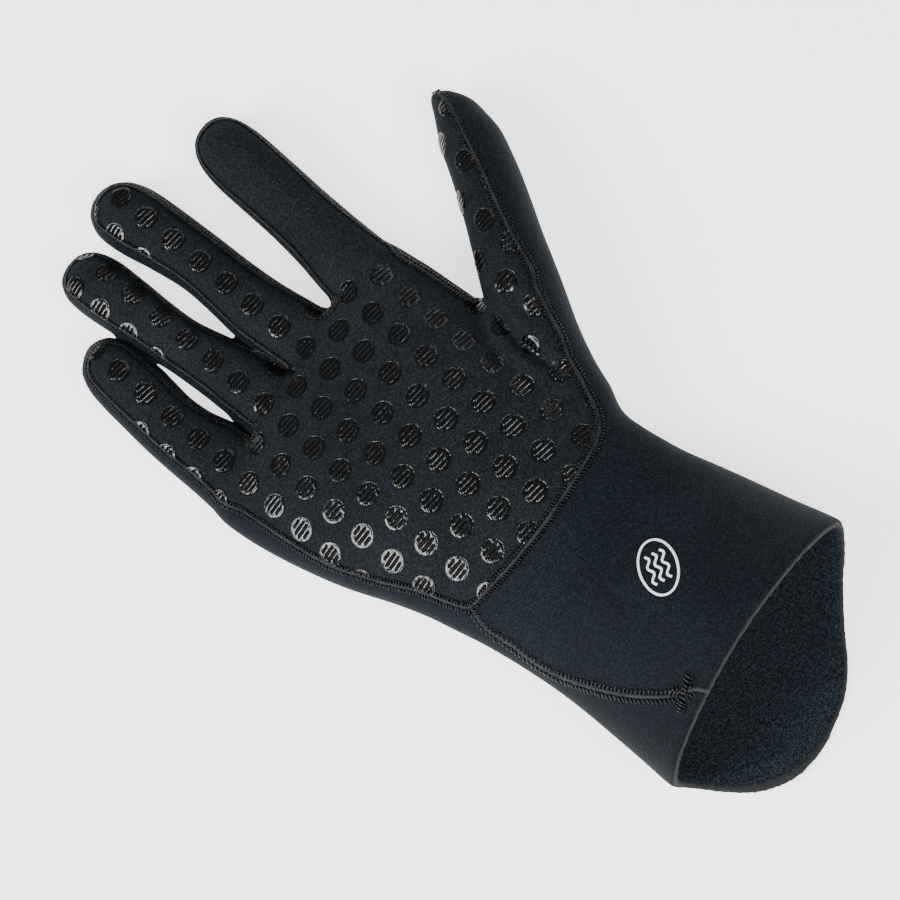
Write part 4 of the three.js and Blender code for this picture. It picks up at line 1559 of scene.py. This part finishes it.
@dataclass
class Panels:
    """The two neoprene panels."""

    form: GloveForm
    finishes: Finishes
    groove_depth: float = 0.45
    groove_width: float = 1.5
    edge_blend: float = 1.6
    hollow_reach: float = 1.5
    rim_reach: float = 2.3
    foam_share: float = 0.8

    def build(self) -> None:
        """Builds the palm panel and the back panel."""
        form = self.form
        outer = form.outer + self.groove_depth * np.exp(-((form.front / self.groove_width) ** 2))
        walled = cut_softly(outer, -form.inner, self.hollow_reach)
        shell = cut_softly(walled, form.rim, self.rim_reach)
        past_palm, past_back = 0.5 * SIZES.gap - form.front, form.front + 0.5 * SIZES.gap
        self._panel("palm_panel_cloth", "palm_panel", outer, shell, past_palm, Slot.FRONT)
        self._panel("back_panel_cloth", "back_panel", outer, shell, past_back, Slot.BACK)

    def _panel(
        self, name: str, node: str, outer: np.ndarray, shell: np.ndarray, seam: np.ndarray, slot: Slot
    ) -> None:
        """Builds one panel.

        Args:
            name: The piece's name.
            node: The part's node that it stands for.
            outer: Distances from the outer face.
            shell: Distances from the whole shell.
            seam: Distances past the panel's seams.
            slot: The slot of its outer face.
        """
        space = self.form.space
        vertices, quads = surface_net(np.maximum(shell, seam), space.low, space.step)
        fields = (outer, -self.form.inner, self.form.rim, seam)
        over, under, rim, cut = (space.sample(values, vertices) for values in fields)
        past_edge = (np.maximum(rim, cut) - np.maximum(over, under)) / self.edge_blend
        edge = np.clip(0.5 + past_edge, 0.0, 1.0)
        inside = (under - over)[quads].mean(axis=1) > 0.0
        slots = [slot, Slot.PLUSH, Slot.FOAM]
        foam = slots.index(Slot.FOAM)
        region = np.where(edge[quads].mean(axis=1) > self.foam_share, foam, inside.astype(int))
        piece = add_piece(name, vertices, quads, slot, self.finishes, (region, slots), edge)
        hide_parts(node)


@dataclass
class CuffLining:
    """The plush skin inside the cuff."""

    form: GloveForm
    finishes: Finishes
    columns: int = 260
    rows: int = 96
    pile: float = 0.35
    past_wrist: float = 6.0
    wall_gap: float = 0.1
    thin_edge: float = 0.25
    thin_rows: float = 5.0
    rim_margin: float = 0.9
    rim_rounds: int = 12
    seed: int = 11

    def build(self) -> None:
        """Builds the lining as one closed skin, thin where it ends at the rim."""
        start = -SIZES.palm_length + self.past_wrist
        to_rim = (1.0 - np.linspace(0.0, 1.0, self.rows)) * self.rows
        outside = self._skin(np.full(self.rows, self.wall_gap), start)
        full = np.clip(to_rim / self.thin_rows, 0.0, 1.0)
        inside = self._skin(self.thin_edge + (SIZES.lining - self.thin_edge) * full, start)
        inside = inside + self._tufts(inside)
        vertices = np.vstack([outside.reshape(-1, 3), inside.reshape(-1, 3)])
        count = self.columns * self.rows
        row, column = np.meshgrid(np.arange(self.rows - 1), np.arange(self.columns), indexing="ij")
        beside = (column + 1) % self.columns
        a, b = row * self.columns + column, row * self.columns + beside
        c, d = a + self.columns, b + self.columns
        walls = np.stack([a, b, d, c], axis=-1).reshape(-1, 4)
        column = np.arange(self.columns)
        beside = (column + 1) % self.columns
        last = (self.rows - 1) * self.columns
        first_edge = np.stack([column, column + count, beside + count, beside], axis=1)
        ends = [last + column, last + beside, last + beside + count, last + column + count]
        last_edge = np.stack(ends, axis=1)
        faces = np.concatenate([walls, walls[:, ::-1] + count, first_edge, last_edge])
        piece = add_piece("cuff_lining_plush", vertices, faces, Slot.PLUSH, self.finishes)
        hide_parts("cuff_lining")

    def _skin(self, depths: np.ndarray, start: float) -> np.ndarray:
        """Points of the cuff's inner face, moved in by each row's depth, from the wrist to the rim.

        Args:
            depths: How deep each row lies under the inner face.
            start: Where the skin starts along y.

        Returns:
            The points: row, column, coordinate.
        """
        angle = (np.arange(self.columns) + 0.5) / self.columns * 2 * math.pi
        ring = np.zeros((self.rows, self.columns, 3))
        rim = self._rim_line(angle, SIZES.wall)
        for i, share in enumerate(np.linspace(0.0, 1.0, self.rows)):
            y = start + (rim - start) * share
            ring[i] = self._oval(angle, y, SIZES.wall + depths[i])
        return ring

    def _oval(self, angle: np.ndarray, y: np.ndarray, inset: float) -> np.ndarray:
        """Points of the inset hand tube at angles round it and at places along it.

        Args:
            angle: Angles round the tube.
            y: Places along it, one for each angle.
            inset: How far in from the outer face.

        Returns:
            The points, one a row.
        """
        ulnar, radial, height = (BODY.read(name, y) for name in ("ulnar", "radial", "height"))
        belt = BODY.read("belt", y) * height
        across, rise = np.cos(angle), np.sin(angle)
        power = 2.0 / np.where(rise >= 0.0, BODY.read("top", y), BODY.read("floor", y))
        down = (belt - inset) * np.minimum(np.abs(rise) ** power * (1.0 + SIZES.pressed_flat), 1.0)
        up = (height - belt - inset) * np.abs(rise) ** power
        half = (radial - ulnar) / 2 - inset
        x = (ulnar + radial) / 2 + half * np.sign(across) * np.abs(across) ** power
        return np.stack([x, y, belt + np.where(rise >= 0.0, up, -down)], axis=-1)

    def _rim_line(self, angle: np.ndarray, inset: float) -> np.ndarray:
        """How far along y the lining runs at each angle, to just inside the rim.

        Args:
            angle: Angles round the mouth.
            inset: How far in from the outer face.

        Returns:
            The lining's end along y, at each angle.
        """
        y = np.full(len(angle), Stretch.MOUTH.value[0])
        for _ in range(self.rim_rounds):
            places = self._oval(angle, y, inset)
            past = self.form.space.sample(self.form.rim, places) + self.rim_margin
            y = y + past
        return y

    def _tufts(self, points: np.ndarray) -> np.ndarray:
        """Small moves in and out that roughen the pile.

        Args:
            points: The skin's points: row, column, coordinate.

        Returns:
            How each point moves.
        """
        chance = np.random.default_rng(self.seed)
        inward = np.roll(points, -1, axis=1) - np.roll(points, 1, axis=1)
        side = np.stack([inward[..., 2], 0 * inward[..., 1], -inward[..., 0]], axis=-1)
        side /= np.maximum(np.linalg.norm(side, axis=-1), TINY)[..., None]
        centre = points.mean(axis=1, keepdims=True)
        facing = np.sign(((centre - points) * side).sum(axis=-1))
        move = self.pile * (chance.random(points.shape[:2]) - 0.5)
        return side * (facing * move)[..., None]


def tubes(
    paths: np.ndarray, up: np.ndarray, wide: np.ndarray, high: np.ndarray, sides: int
) -> tuple[np.ndarray, np.ndarray]:
    """Sweeps an oval along many paths of the same length.

    Args:
        paths: Points of the paths: path, point, coordinate.
        up: The way that the oval's height points, at each point.
        wide: Half width of the oval at each point.
        high: Half height of the oval at each point.
        sides: Sides of the oval.

    Returns:
        The vertices and the triangles, each tube closed at both ends.
    """
    count, length = paths.shape[:2]
    way = np.gradient(paths, axis=1)
    across = np.cross(way, up)
    across /= np.maximum(np.linalg.norm(across, axis=-1), TINY)[..., None]
    over = np.cross(across, way)
    over /= np.maximum(np.linalg.norm(over, axis=-1), TINY)[..., None]
    angle = np.arange(sides) / sides * 2 * math.pi
    ring = (
        paths[:, :, None, :]
        + across[:, :, None, :] * (wide[..., None] * np.cos(angle))[..., None]
        + over[:, :, None, :] * (high[..., None] * np.sin(angle))[..., None]
    )
    vertices = ring.reshape(count, length * sides, 3)
    ends = paths[:, [0, -1], :]
    vertices = np.concatenate([vertices, ends], axis=1).reshape(-1, 3)
    i, j = np.meshgrid(np.arange(length - 1), np.arange(sides), indexing="ij")
    k = (j + 1) % sides
    a, b, c, d = i * sides + j, i * sides + k, (i + 1) * sides + j, (i + 1) * sides + k
    halves = [np.stack(corners, -1).reshape(-1, 3) for corners in ([a, b, d], [a, d, c])]
    side_faces = np.concatenate(halves)
    j = np.arange(sides)
    k = (j + 1) % sides
    start_cap = np.stack([np.full(sides, length * sides), k, j], -1)
    first = (length - 1) * sides
    end_cap = np.stack([np.full(sides, length * sides + 1), first + j, first + k], -1)
    pattern = np.concatenate([side_faces, start_cap, end_cap])
    faces = pattern[None, :, :] + (np.arange(count) * (length * sides + 2))[:, None, None]
    return vertices, faces.reshape(-1, 3)


# The cuff's side seam as it shows from the camera, in plan, and the height that this plan is read at
CUFF_SEAM = [
    (-31.8, -97.4),
    (-35.3, -106.1),
    (-35.4, -116.3),
    (-36.0, -126.6),
    (-35.2, -136.0),
    (-32.0, -148.2),
    (-27.9, -158.4),
    (-22.2, -167.6),
    (-16.0, -173.6),
    (-14.6, -177.9),
]
CUFF_SEAM_HEIGHT = 35.0

# How large the seams are at places along y
SEAM_SCALE_PLACES = [-150.0, -115.0, -95.0, -10.0, 20.0]
SEAM_SCALES = [1.0, 1.0, 0.8, 0.72, 0.58]

# A stitch's way from the seam outwards: share of its reach, and height over the face
STITCH_COURSE = ((0.3, 0.0), (0.42, 0.26), (0.66, 0.34), (0.88, 0.16), (1.0, -0.3))
STITCH_MIDDLE = 0.65

# Heights of a bartack thread over the face, from end to end
BAR_COURSE = (-0.3, 0.35, 0.6, 0.6, 0.35, -0.3)


@dataclass
class Seams:
    """The sewn seams: a grey cloth ridge between two rows of black stitches."""

    form: GloveForm
    finishes: Finishes
    pitch: float = 1.7
    step: float = 0.6
    least_points: int = 60
    smoothing: int = 4
    ridge_width: float = 0.8
    ridge_height: float = 0.6
    ridge_sunk: float = 0.2
    ridge_sides: int = 8
    ridge_bite: float = 0.35
    width_spread: float = 0.4
    height_spread: float = 0.3
    wave_points: int = 3
    ridge_seed: int = 5
    stitch_reach: float = 2.2
    stitch_shift: float = 0.25
    stitch_lean: float = 0.5
    shift_scatter: float = 0.12
    reach_scatter: float = 0.10
    stitch_seed: int = 9
    thread: float = 0.34
    thread_height: float = 0.9
    thread_sides: int = 6
    bare_end: int = 7
    seam_before_rim: float = 0.6
    cast_run: float = 40.0
    bar_thread: float = 0.42
    bar_slant: float = 0.5
    bar_place_scatter: float = 0.2
    bar_reach_scatter: float = 0.15
    bar_seed: int = 3

    def build(self) -> None:
        """Traces the seams and sews them."""
        panels, side = self._traced(), self._cuff_side()
        ridges = [self._ridge(line) for line in [*panels, side]]
        sewn = [*panels, side[: -self.bare_end]]
        stitches = [row for line in sewn for row in self._rows(line)]
        vertices, faces = merged(ridges)
        add_piece("seam_ridge", vertices, faces, Slot.RIDGE, self.finishes)
        stitches.extend(self._bartack())
        vertices, faces = merged(stitches)
        add_piece("seam_stitches", vertices, faces, Slot.THREAD, self.finishes)

    def _traced(self) -> list[np.ndarray]:
        """The panels' seam as smooth lines on the outer face.

        Returns:
            The lines, longest first.
        """
        form, space = self.form, self.form.space
        skin = np.maximum(form.outer, form.rim)
        vertices, quads = surface_net(skin, space.low, space.step)
        found = []
        for line in zero_lines(vertices, quads, space.sample(form.front, vertices)):
            if len(line) > self.least_points:
                closed = np.linalg.norm(line[0] - line[-1]) < 2 * space.step
                found.append(form.onto_face(self._smoothed(line, closed)))
        return found

    def _smoothed(self, line: np.ndarray, closed: bool) -> np.ndarray:
        """Smooths a line and spaces its points evenly.

        Args:
            line: The line's points, one a row.
            closed: Whether it ends at its first point.

        Returns:
            The smooth line's points.
        """
        line = evenly(line, self.step)
        reach = self.smoothing
        weights = np.hanning(2 * reach + 3)[1:-1]
        weights /= weights.sum()
        mode = "wrap" if closed else "edge"
        padded = np.pad(line[:-1] if closed else line, ((reach, reach), (0, 0)), mode=mode)
        smooth = np.stack([np.convolve(padded[:, k], weights, "valid") for k in range(3)], axis=1)
        if closed:
            smooth = np.vstack([smooth, smooth[:1]])
        return evenly(smooth, self.step)

    def _cuff_side(self) -> np.ndarray:
        """The cuff's side seam, from the wrist seam to the rim, on the outer face.

        Returns:
            The line's points, one a row.
        """
        line = smooth_line(np.array(CUFF_SEAM), self.step)
        through = np.concatenate([line, np.full((len(line), 1), CUFF_SEAM_HEIGHT)], axis=1)
        ways = through - StudioView().eye
        ways /= np.linalg.norm(ways, axis=1)[:, None]
        face = self.form.onto_face(self.form.cast(through - ways * self.cast_run, ways))
        return face[self.form.space.sample(self.form.rim, face) < -self.seam_before_rim]

    @staticmethod
    def _scale(line: np.ndarray) -> np.ndarray:
        """How large the seam is at each point: full on the cuff and finer towards the fingertips."""
        return np.interp(line[:, 1], SEAM_SCALE_PLACES, SEAM_SCALES)

    def _frames(self, line: np.ndarray) -> tuple[np.ndarray, np.ndarray]:
        """The way out of the face and the way across the line, at each point.

        Args:
            line: The line's points on the outer face, one a row.

        Returns:
            The two ways, each of length 1.
        """
        normal = self.form.normals(line)
        way = np.gradient(line, axis=0)
        across = np.cross(way, normal)
        return normal, across / np.maximum(np.linalg.norm(across, axis=1), TINY)[:, None]

    def _ridge(self, line: np.ndarray) -> tuple[np.ndarray, np.ndarray]:
        """The raised cloth edge along a line.

        Args:
            line: The line's points on the outer face, one a row.

        Returns:
            The ridge's vertices and triangles.
        """
        chance = np.random.default_rng(self.ridge_seed)
        normal, _ = self._frames(line)
        path = line - normal * self.ridge_sunk
        number = np.arange(len(path))
        knots = np.arange(0, len(path) + self.wave_points, self.wave_points)
        wave = np.interp(number, knots, chance.random(len(knots)))
        scale = self._scale(line)
        turns = number * self.step / (self.pitch * scale) * 2 * math.pi
        bite = 1.0 - self.ridge_bite * np.cos(turns)
        wider = 1.0 - self.width_spread / 2 + self.width_spread * wave
        higher = 1.0 - self.height_spread / 2 + self.height_spread * wave
        wide = self.ridge_width * scale * wider
        high = self.ridge_height * scale * higher * bite
        return tubes(path[None], normal[None], wide[None], high[None], self.ridge_sides)

    def _rows(self, line: np.ndarray) -> list[tuple[np.ndarray, np.ndarray]]:
        """The two rows of stitches along a line.

        Args:
            line: The line's points on the outer face, one a row.

        Returns:
            The vertices and triangles of each row.
        """
        made = []
        chance = np.random.default_rng(self.stitch_seed)
        pitch = self.pitch * float(self._scale(line).mean())
        spots = evenly(line, pitch)
        scale = self._scale(spots)
        normal, across = self._frames(spots)
        way = np.gradient(spots, axis=0)
        way /= np.maximum(np.linalg.norm(way, axis=1), TINY)[:, None]
        for side in (-1.0, 1.0):
            strayed = self.shift_scatter * chance.standard_normal((len(spots), 1))
            shift = way * (self.stitch_shift * side * pitch + strayed)
            longer = self.reach_scatter * chance.standard_normal(len(spots))
            reach = self.stitch_reach * scale * (1 + longer)
            path = []
            for share, lift in STITCH_COURSE:
                out = across * (side * share * reach)[:, None]
                lean = way * (self.stitch_lean * (share - STITCH_MIDDLE) * pitch)
                path.append(spots + shift + out + lean + normal * (lift * scale)[:, None])
            paths = np.stack(path, axis=1)
            up = np.repeat(normal[:, None, :], paths.shape[1], axis=1)
            thick = np.repeat((self.thread * scale)[:, None], paths.shape[1], axis=1)
            made.append(tubes(paths, up, thick, thick * self.thread_height, self.thread_sides))
        return made

    def _bartack(self) -> list[tuple[np.ndarray, np.ndarray]]:
        """The bar of thick thread that locks the side seam before the rim.

        Returns:
            The vertices and triangles of each thread.
        """
        made = []
        chance = np.random.default_rng(self.bar_seed)
        across = np.linspace(-1.0, 1.0, len(BAR_COURSE))[:, None]
        lift = np.array(BAR_COURSE)[:, None]
        for bar in BARS:
            start, finish = np.array(bar.start), np.array(bar.finish)
            way = (finish - start) / np.linalg.norm(finish - start)
            side = np.array([-way[1], way[0]])
            for i in range(bar.threads):
                strayed = way * chance.normal(0, self.bar_place_scatter)
                at = start + (finish - start) * (i + 0.5) / bar.threads + strayed
                reach = bar.half_width * (1 + self.bar_reach_scatter * chance.standard_normal())
                plan = at + side * (reach * across) + way * (self.bar_slant * across)
                face = self.form.drop(plan)
                normal = self.form.normals(face)
                path = face + normal * lift
                thick = np.full((1, len(path)), self.bar_thread)
                made.append(tubes(path[None], normal[None], thick, thick, self.thread_sides))
        return made


@dataclass(frozen=True)
class ThreadBar:
    """A bar of close threads: its ends in plan, half its width and its number of threads."""

    start: tuple[float, float]
    finish: tuple[float, float]
    half_width: float
    threads: int


BARS = [
    ThreadBar((-24.6, -176.4), (-13.0, -173.9), 1.8, 10),
    ThreadBar((-20.6, -170.6), (-19.2, -174.0), 1.5, 3),
]


def merged(parts: list[tuple[np.ndarray, np.ndarray]]) -> tuple[np.ndarray, np.ndarray]:
    """Puts several meshes into one list of vertices and one of faces.

    Args:
        parts: The vertices and the faces of each mesh.

    Returns:
        The vertices and the faces of all.
    """
    starts = np.cumsum([0] + [len(vertices) for vertices, _ in parts[:-1]])
    vertices = np.concatenate([v for v, _ in parts])
    faces = np.concatenate([f + start for (_, f), start in zip(parts, starts)])
    return vertices, faces


@dataclass
class GripPads:
    """Thick glossy printed pads over the palm, three fingers and the thumb.

    Each pad is a disc with a row of short slits, whose places and half lengths are given in cells.
    """

    form: GloveForm
    finishes: Finishes
    radius: float = 4.2
    height: float = 0.34
    cell: float = 0.42
    spacing: float = 13.4
    turn: float = -0.22
    seam_margin: float = 0.3
    slit_width: float = 0.55
    slits: tuple[tuple[int, int], ...] = ((-6, 3), (-2, 6), (2, 6), (6, 3))
    rows_lean: float = 24.0
    row_share: float = 0.84
    origin: tuple[float, float] = (3.0, -50.0)
    rows_each_way: int = 14
    face_tolerance: float = 0.5
    past_seam: float = 1.5
    bare_from: float = 4.0
    bare_half_width: float = 14.0
    border: float = 1.0
    edge_round: float = 1.0
    least_cells: int = 12
    crinkle_share: float = 0.14
    crinkle_waves: tuple[tuple[float, float], ...] = ((2.1, 1.3), (-0.9, 1.7))
    least_steep: float = 0.25
    lifted: float = 0.03
    sunk: float = 0.25

    def build(self) -> None:
        """Prints the pads as one piece."""
        parts = [part for place in self._places() if (part := self._pad(place)) is not None]
        vertices, faces = merged(parts)
        add_piece("grip_pads", vertices, faces, Slot.GRIP, self.finishes)

    def _places(self) -> list[np.ndarray]:
        """Where the pads lie in plan.

        Returns:
            The pads' middles.
        """
        spots = []
        lean = math.radians(self.rows_lean)
        way = np.array([math.cos(lean), math.sin(lean)])
        side = np.array([-way[1], way[0]])
        numbers = range(-self.rows_each_way, self.rows_each_way + 1)
        for row in numbers:
            for column in numbers:
                shift = 0.5 * (row % 2)
                along = way * (column + shift) * self.spacing
                across = side * row * self.spacing * self.row_share
                spots.append(along + across + np.array(self.origin))
        return spots

    def _motif(self, u: np.ndarray, v: np.ndarray) -> np.ndarray:
        """Distance from the motif's edge: a disc with a row of short slits.

        Args:
            u: Places across the pad.
            v: Places along the pad.

        Returns:
            The distance, less than 0 on the print.
        """
        cuts = [np.hypot(u, v) - self.radius]
        for place, half in self.slits:
            past_end = np.maximum(np.abs(u) - half * self.cell, 0.0)
            cuts.append(self.slit_width / 2 - np.hypot(v - place * self.cell, past_end))
        return np.maximum.reduce(cuts)

    def _pad(self, centre: np.ndarray) -> tuple[np.ndarray, np.ndarray] | None:
        """One pad laid on the glove, or None where no pad is printed.

        Args:
            centre: The pad's middle in plan.

        Returns:
            The pad's vertices and quads.
        """
        form, space = self.form, self.form.space
        middle = form.drop(centre[None])
        missed = abs(space.sample(form.outer, middle)[0]) > self.face_tolerance
        if missed or space.sample(form.front, middle)[0] < -self.past_seam:
            return None
        index_along, index_across = FINGERS["index"].place(middle[0, 0], middle[0, 1])
        if index_along > self.bare_from and abs(index_across) < self.bare_half_width:
            return None
        normal = form.normals(middle)[0]
        first = np.cross(np.array([-math.sin(self.turn), math.cos(self.turn), 0.0]), normal)
        first /= np.linalg.norm(first)
        second = np.cross(normal, first)
        count = int(2 * (self.radius + self.border) / self.cell) + 1
        ticks = (np.arange(count) - (count - 1) / 2) * self.cell
        u, v = np.meshgrid(ticks, ticks, indexing="ij")
        face = form.onto_face(middle + u.reshape(-1, 1) * first + v.reshape(-1, 1) * second)
        front = space.sample(form.front, face).reshape(u.shape)
        u, v, level = self._snapped(u, v, np.maximum(self._motif(u, v), self.seam_margin - front))
        low = level <= 0.0
        keep = low[:-1, :-1] & low[1:, 1:] & low[:-1, 1:] & low[1:, :-1]
        if keep.sum() < self.least_cells:
            return None
        rise = np.clip(-level / self.edge_round, 0.0, 1.0)
        crinkle = np.ones(u.shape)
        for (over_u, over_v), start in zip(self.crinkle_waves, centre):
            crinkle = crinkle * np.sin(over_u * u + over_v * v + start)
        share = 1.0 - self.crinkle_share + self.crinkle_share * crinkle
        height = self.height * rise * (2.0 - rise) * share
        face = form.onto_face(middle + u.reshape(-1, 1) * first + v.reshape(-1, 1) * second)
        normals = form.normals(face)
        top = face + normals * (height.reshape(-1, 1) + self.lifted)
        base = face - normals * self.sunk
        number = np.arange(u.size).reshape(u.shape)
        a, b = number[:-1, :-1][keep], number[1:, :-1][keep]
        c, d = number[1:, 1:][keep], number[:-1, 1:][keep]
        upper = np.stack([a, b, c, d], axis=1)
        lower = upper[:, ::-1] + u.size
        walls = self._walls(keep, number, u.size)
        vertices = np.vstack([top, base])
        faces = np.concatenate([upper, lower, walls])
        used, faces = np.unique(faces, return_inverse=True)
        return vertices[used], faces.reshape(-1, 4)

    def _snapped(self, u: np.ndarray, v: np.ndarray, level: np.ndarray) -> tuple[np.ndarray, ...]:
        """Moves the grid's points near the motif's edge onto it.

        Args:
            u: Places across the pad.
            v: Places along the pad.
            level: Distances from the motif's edge.

        Returns:
            The places and the distances, which are 0 on the edge.
        """
        slope_u, slope_v = np.gradient(level, self.cell)
        steep = np.maximum(slope_u**2 + slope_v**2, self.least_steep)
        near = np.abs(level) < 0.5 * self.cell
        move = np.where(near, level / steep, 0.0)
        return u - move * slope_u, v - move * slope_v, np.where(near, 0.0, level)

    @staticmethod
    def _walls(keep: np.ndarray, number: np.ndarray, count: int) -> np.ndarray:
        """Quads that close the pad's edge between its top and its base.

        Args:
            keep: Which cells of the grid the pad covers.
            number: The number of each grid point.
            count: How many grid points there are.

        Returns:
            The quads.
        """
        full = np.pad(keep, 1)
        walls = []
        for axis, flip in ((0, False), (0, True), (1, False), (1, True)):
            step = 1 if flip else -1
            near = full[1:-1, 1:-1]
            beyond = np.roll(full, -step, axis=axis)[1:-1, 1:-1]
            spots = np.argwhere(near & ~beyond)
            i, j = spots[:, 0], spots[:, 1]
            if axis == 0:
                edge = (number[i + flip, j], number[i + flip, j + 1])
            else:
                edge = (number[i + 1, j + flip], number[i, j + flip])
            a, b = edge[::-1] if flip else edge
            walls.append(np.stack([b, a, a + count, b + count], axis=1))
        return np.concatenate(walls)


@dataclass
class CuffMark:
    """A plain white printed outline on the cuff."""

    form: GloveForm
    finishes: Finishes
    centre: tuple[float, float] = (9.4, -146.0)
    half_length: float = 9.6
    half_width: float = 6.2
    line: float = 0.42
    thickness: float = 0.09
    turn: float = 58.0
    waves: tuple[float, ...] = (-2.6, 0.0, 2.6)
    wave_half_length: float = 5.2
    wave_height: float = 0.7
    wave_turns: float = 1.3
    outline_points: int = 121
    wave_points: int = 61
    sides: int = 6

    def build(self) -> None:
        """Prints the outline and its waves."""
        turn = math.radians(self.turn)
        way = np.array([math.cos(turn), math.sin(turn)])
        side = np.array([-way[1], way[0]])
        angle = np.linspace(0.0, 2 * math.pi, self.outline_points)
        oval = [self.half_length * np.cos(angle), self.half_width * np.sin(angle)]
        curves = [np.stack(oval, axis=1)]
        u = np.linspace(-self.wave_half_length, self.wave_half_length, self.wave_points)
        wave = self.wave_height * np.sin(u * self.wave_turns)
        for at in self.waves:
            curves.append(np.stack([u, at + wave], axis=1))
        made = []
        for curve in curves:
            plan = np.array(self.centre) + curve[:, :1] * way + curve[:, 1:] * side
            face = self.form.drop(plan)
            normal = self.form.normals(face)
            wide = np.full((1, len(plan)), self.line)
            high = np.full((1, len(plan)), self.thickness)
            made.append(tubes(face[None], normal[None], wide, high, self.sides))
        vertices, faces = merged(made)
        add_piece("cuff_mark", vertices, faces, Slot.INK, self.finishes)


@dataclass(frozen=True)
class StudioView:
    """The camera: its lean and roll in degrees, its place in millimetres, its limits in metres."""

    lean: float = 21.0
    roll: float = 58.0
    distance: float = 900.0
    millimetres_a_pixel: float = 0.325
    picture: int = 900
    aim: tuple[float, float, float] = (6.0, -57.0, 15.0)
    sensor: float = 36.0
    nearest: float = 0.05
    farthest: float = 20.0

    @property
    def eye(self) -> np.ndarray:
        """Where the camera stands, in the palm frame.

        Returns:
            Its place in millimetres.
        """
        lean = math.radians(self.lean)
        back = np.array([0.0, -math.sin(lean), math.cos(lean)])
        return np.array(self.aim) + back * self.distance

    def build(self) -> None:
        """Makes the camera and hands it to the scene."""
        lean, roll = math.radians(self.lean), math.radians(self.roll)
        back = Vector((0.0, -math.sin(lean), math.cos(lean)))
        level, upright = Vector((1.0, 0.0, 0.0)), Vector((0.0, math.cos(lean), math.sin(lean)))
        right = level * math.cos(roll) - upright * math.sin(roll)
        up = level * math.sin(roll) + upright * math.cos(roll)
        data = bpy.data.cameras.new("view_camera")
        data.sensor_width = self.sensor
        pixels = self.distance / self.millimetres_a_pixel
        data.lens = data.sensor_width * pixels / self.picture
        camera = bpy.data.objects.new("view_camera", data)
        turned = Matrix((right, up, back)).transposed()
        place = Vector(SIZES.to_frame(self.eye[None])[0])
        camera.matrix_world = Matrix.Translation(place) @ turned.to_4x4()
        data.clip_start, data.clip_end = self.nearest, self.farthest
        bpy.context.scene.collection.objects.link(camera)
        bpy.context.scene.camera = camera


@dataclass(frozen=True)
class SoftLight:
    """One soft white light: where it stands and its size, in metres, and its power, in watts."""

    name: str
    place: tuple[float, float, float]
    size: float
    power: float

    def build(self) -> None:
        """Adds the light, aimed at the glove."""
        data = bpy.data.lights.new(self.name, "AREA")
        data.shape, data.size, data.energy = "SQUARE", self.size, self.power
        lamp = bpy.data.objects.new(self.name, data)
        lamp.location = self.place
        lamp.rotation_mode = "QUATERNION"
        lamp.rotation_quaternion = (-Vector(self.place)).to_track_quat("-Z", "Y")
        bpy.context.scene.collection.objects.link(lamp)


LIGHTS = (
    SoftLight("window_light", place=(-1.25, 0.75, 1.35), size=1.05, power=70.0),
    SoftLight("far_light", place=(1.0, 0.9, 1.3), size=0.5, power=2.5),
    SoftLight("front_light", place=(-0.1, -1.4, 1.5), size=1.0, power=60.0),
)


@dataclass(frozen=True)
class Studio:
    """A pale floor, soft lights and a pale surround."""

    floor_size: float = 6.0
    floor_colour: tuple[float, float, float] = (0.93, 0.93, 0.93)
    surround: float = 0.22
    floor_glow: float = 1.7

    def build(self) -> None:
        """Builds the floor, the surround and the lights."""
        half = self.floor_size / 2
        mesh = bpy.data.meshes.new("studio_floor")
        corners = [(-half, -half, 0.0), (half, -half, 0.0), (half, half, 0.0), (-half, half, 0.0)]
        mesh.from_pydata(corners, [], [(0, 1, 2, 3)])
        board = NodeBoard("pale_floor")
        board.set(
            Base_Color=self.floor_colour,
            Roughness=0.9,
            Specular_IOR_Level=0.1,
            Emission_Color=(1.0, 1.0, 1.0),
            Emission_Strength=self.floor_glow,
        )
        mesh.materials.append(board.material)
        floor = bpy.data.objects.new("studio_floor", mesh)
        bpy.context.scene.collection.objects.link(floor)
        world = bpy.data.worlds.new("studio")
        world.use_nodes = True
        surround = world.node_tree.nodes["Background"]
        surround.inputs["Color"].default_value = (1.0, 1.0, 1.0, 1.0)
        surround.inputs["Strength"].default_value = self.surround
        bpy.context.scene.world = world
        for light in LIGHTS:
            light.build()


def main() -> None:
    """Builds the glove round its frame, then the studio and the view."""
    logging.basicConfig(level=logging.INFO, format="%(message)s")
    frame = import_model()
    LOG.info("frame nodes: %s", ", ".join(sorted(frame["nodes"])))
    StudioView().build()
    Studio().build()
    finishes = Finishes()
    form = GloveForm(FINE_STEP)
    Panels(form, finishes).build()
    CuffLining(form, finishes).build()
    Seams(form, finishes).build()
    GripPads(form, finishes).build()
    CuffMark(form, finishes).build()


if __name__ == "__main__":
    main()
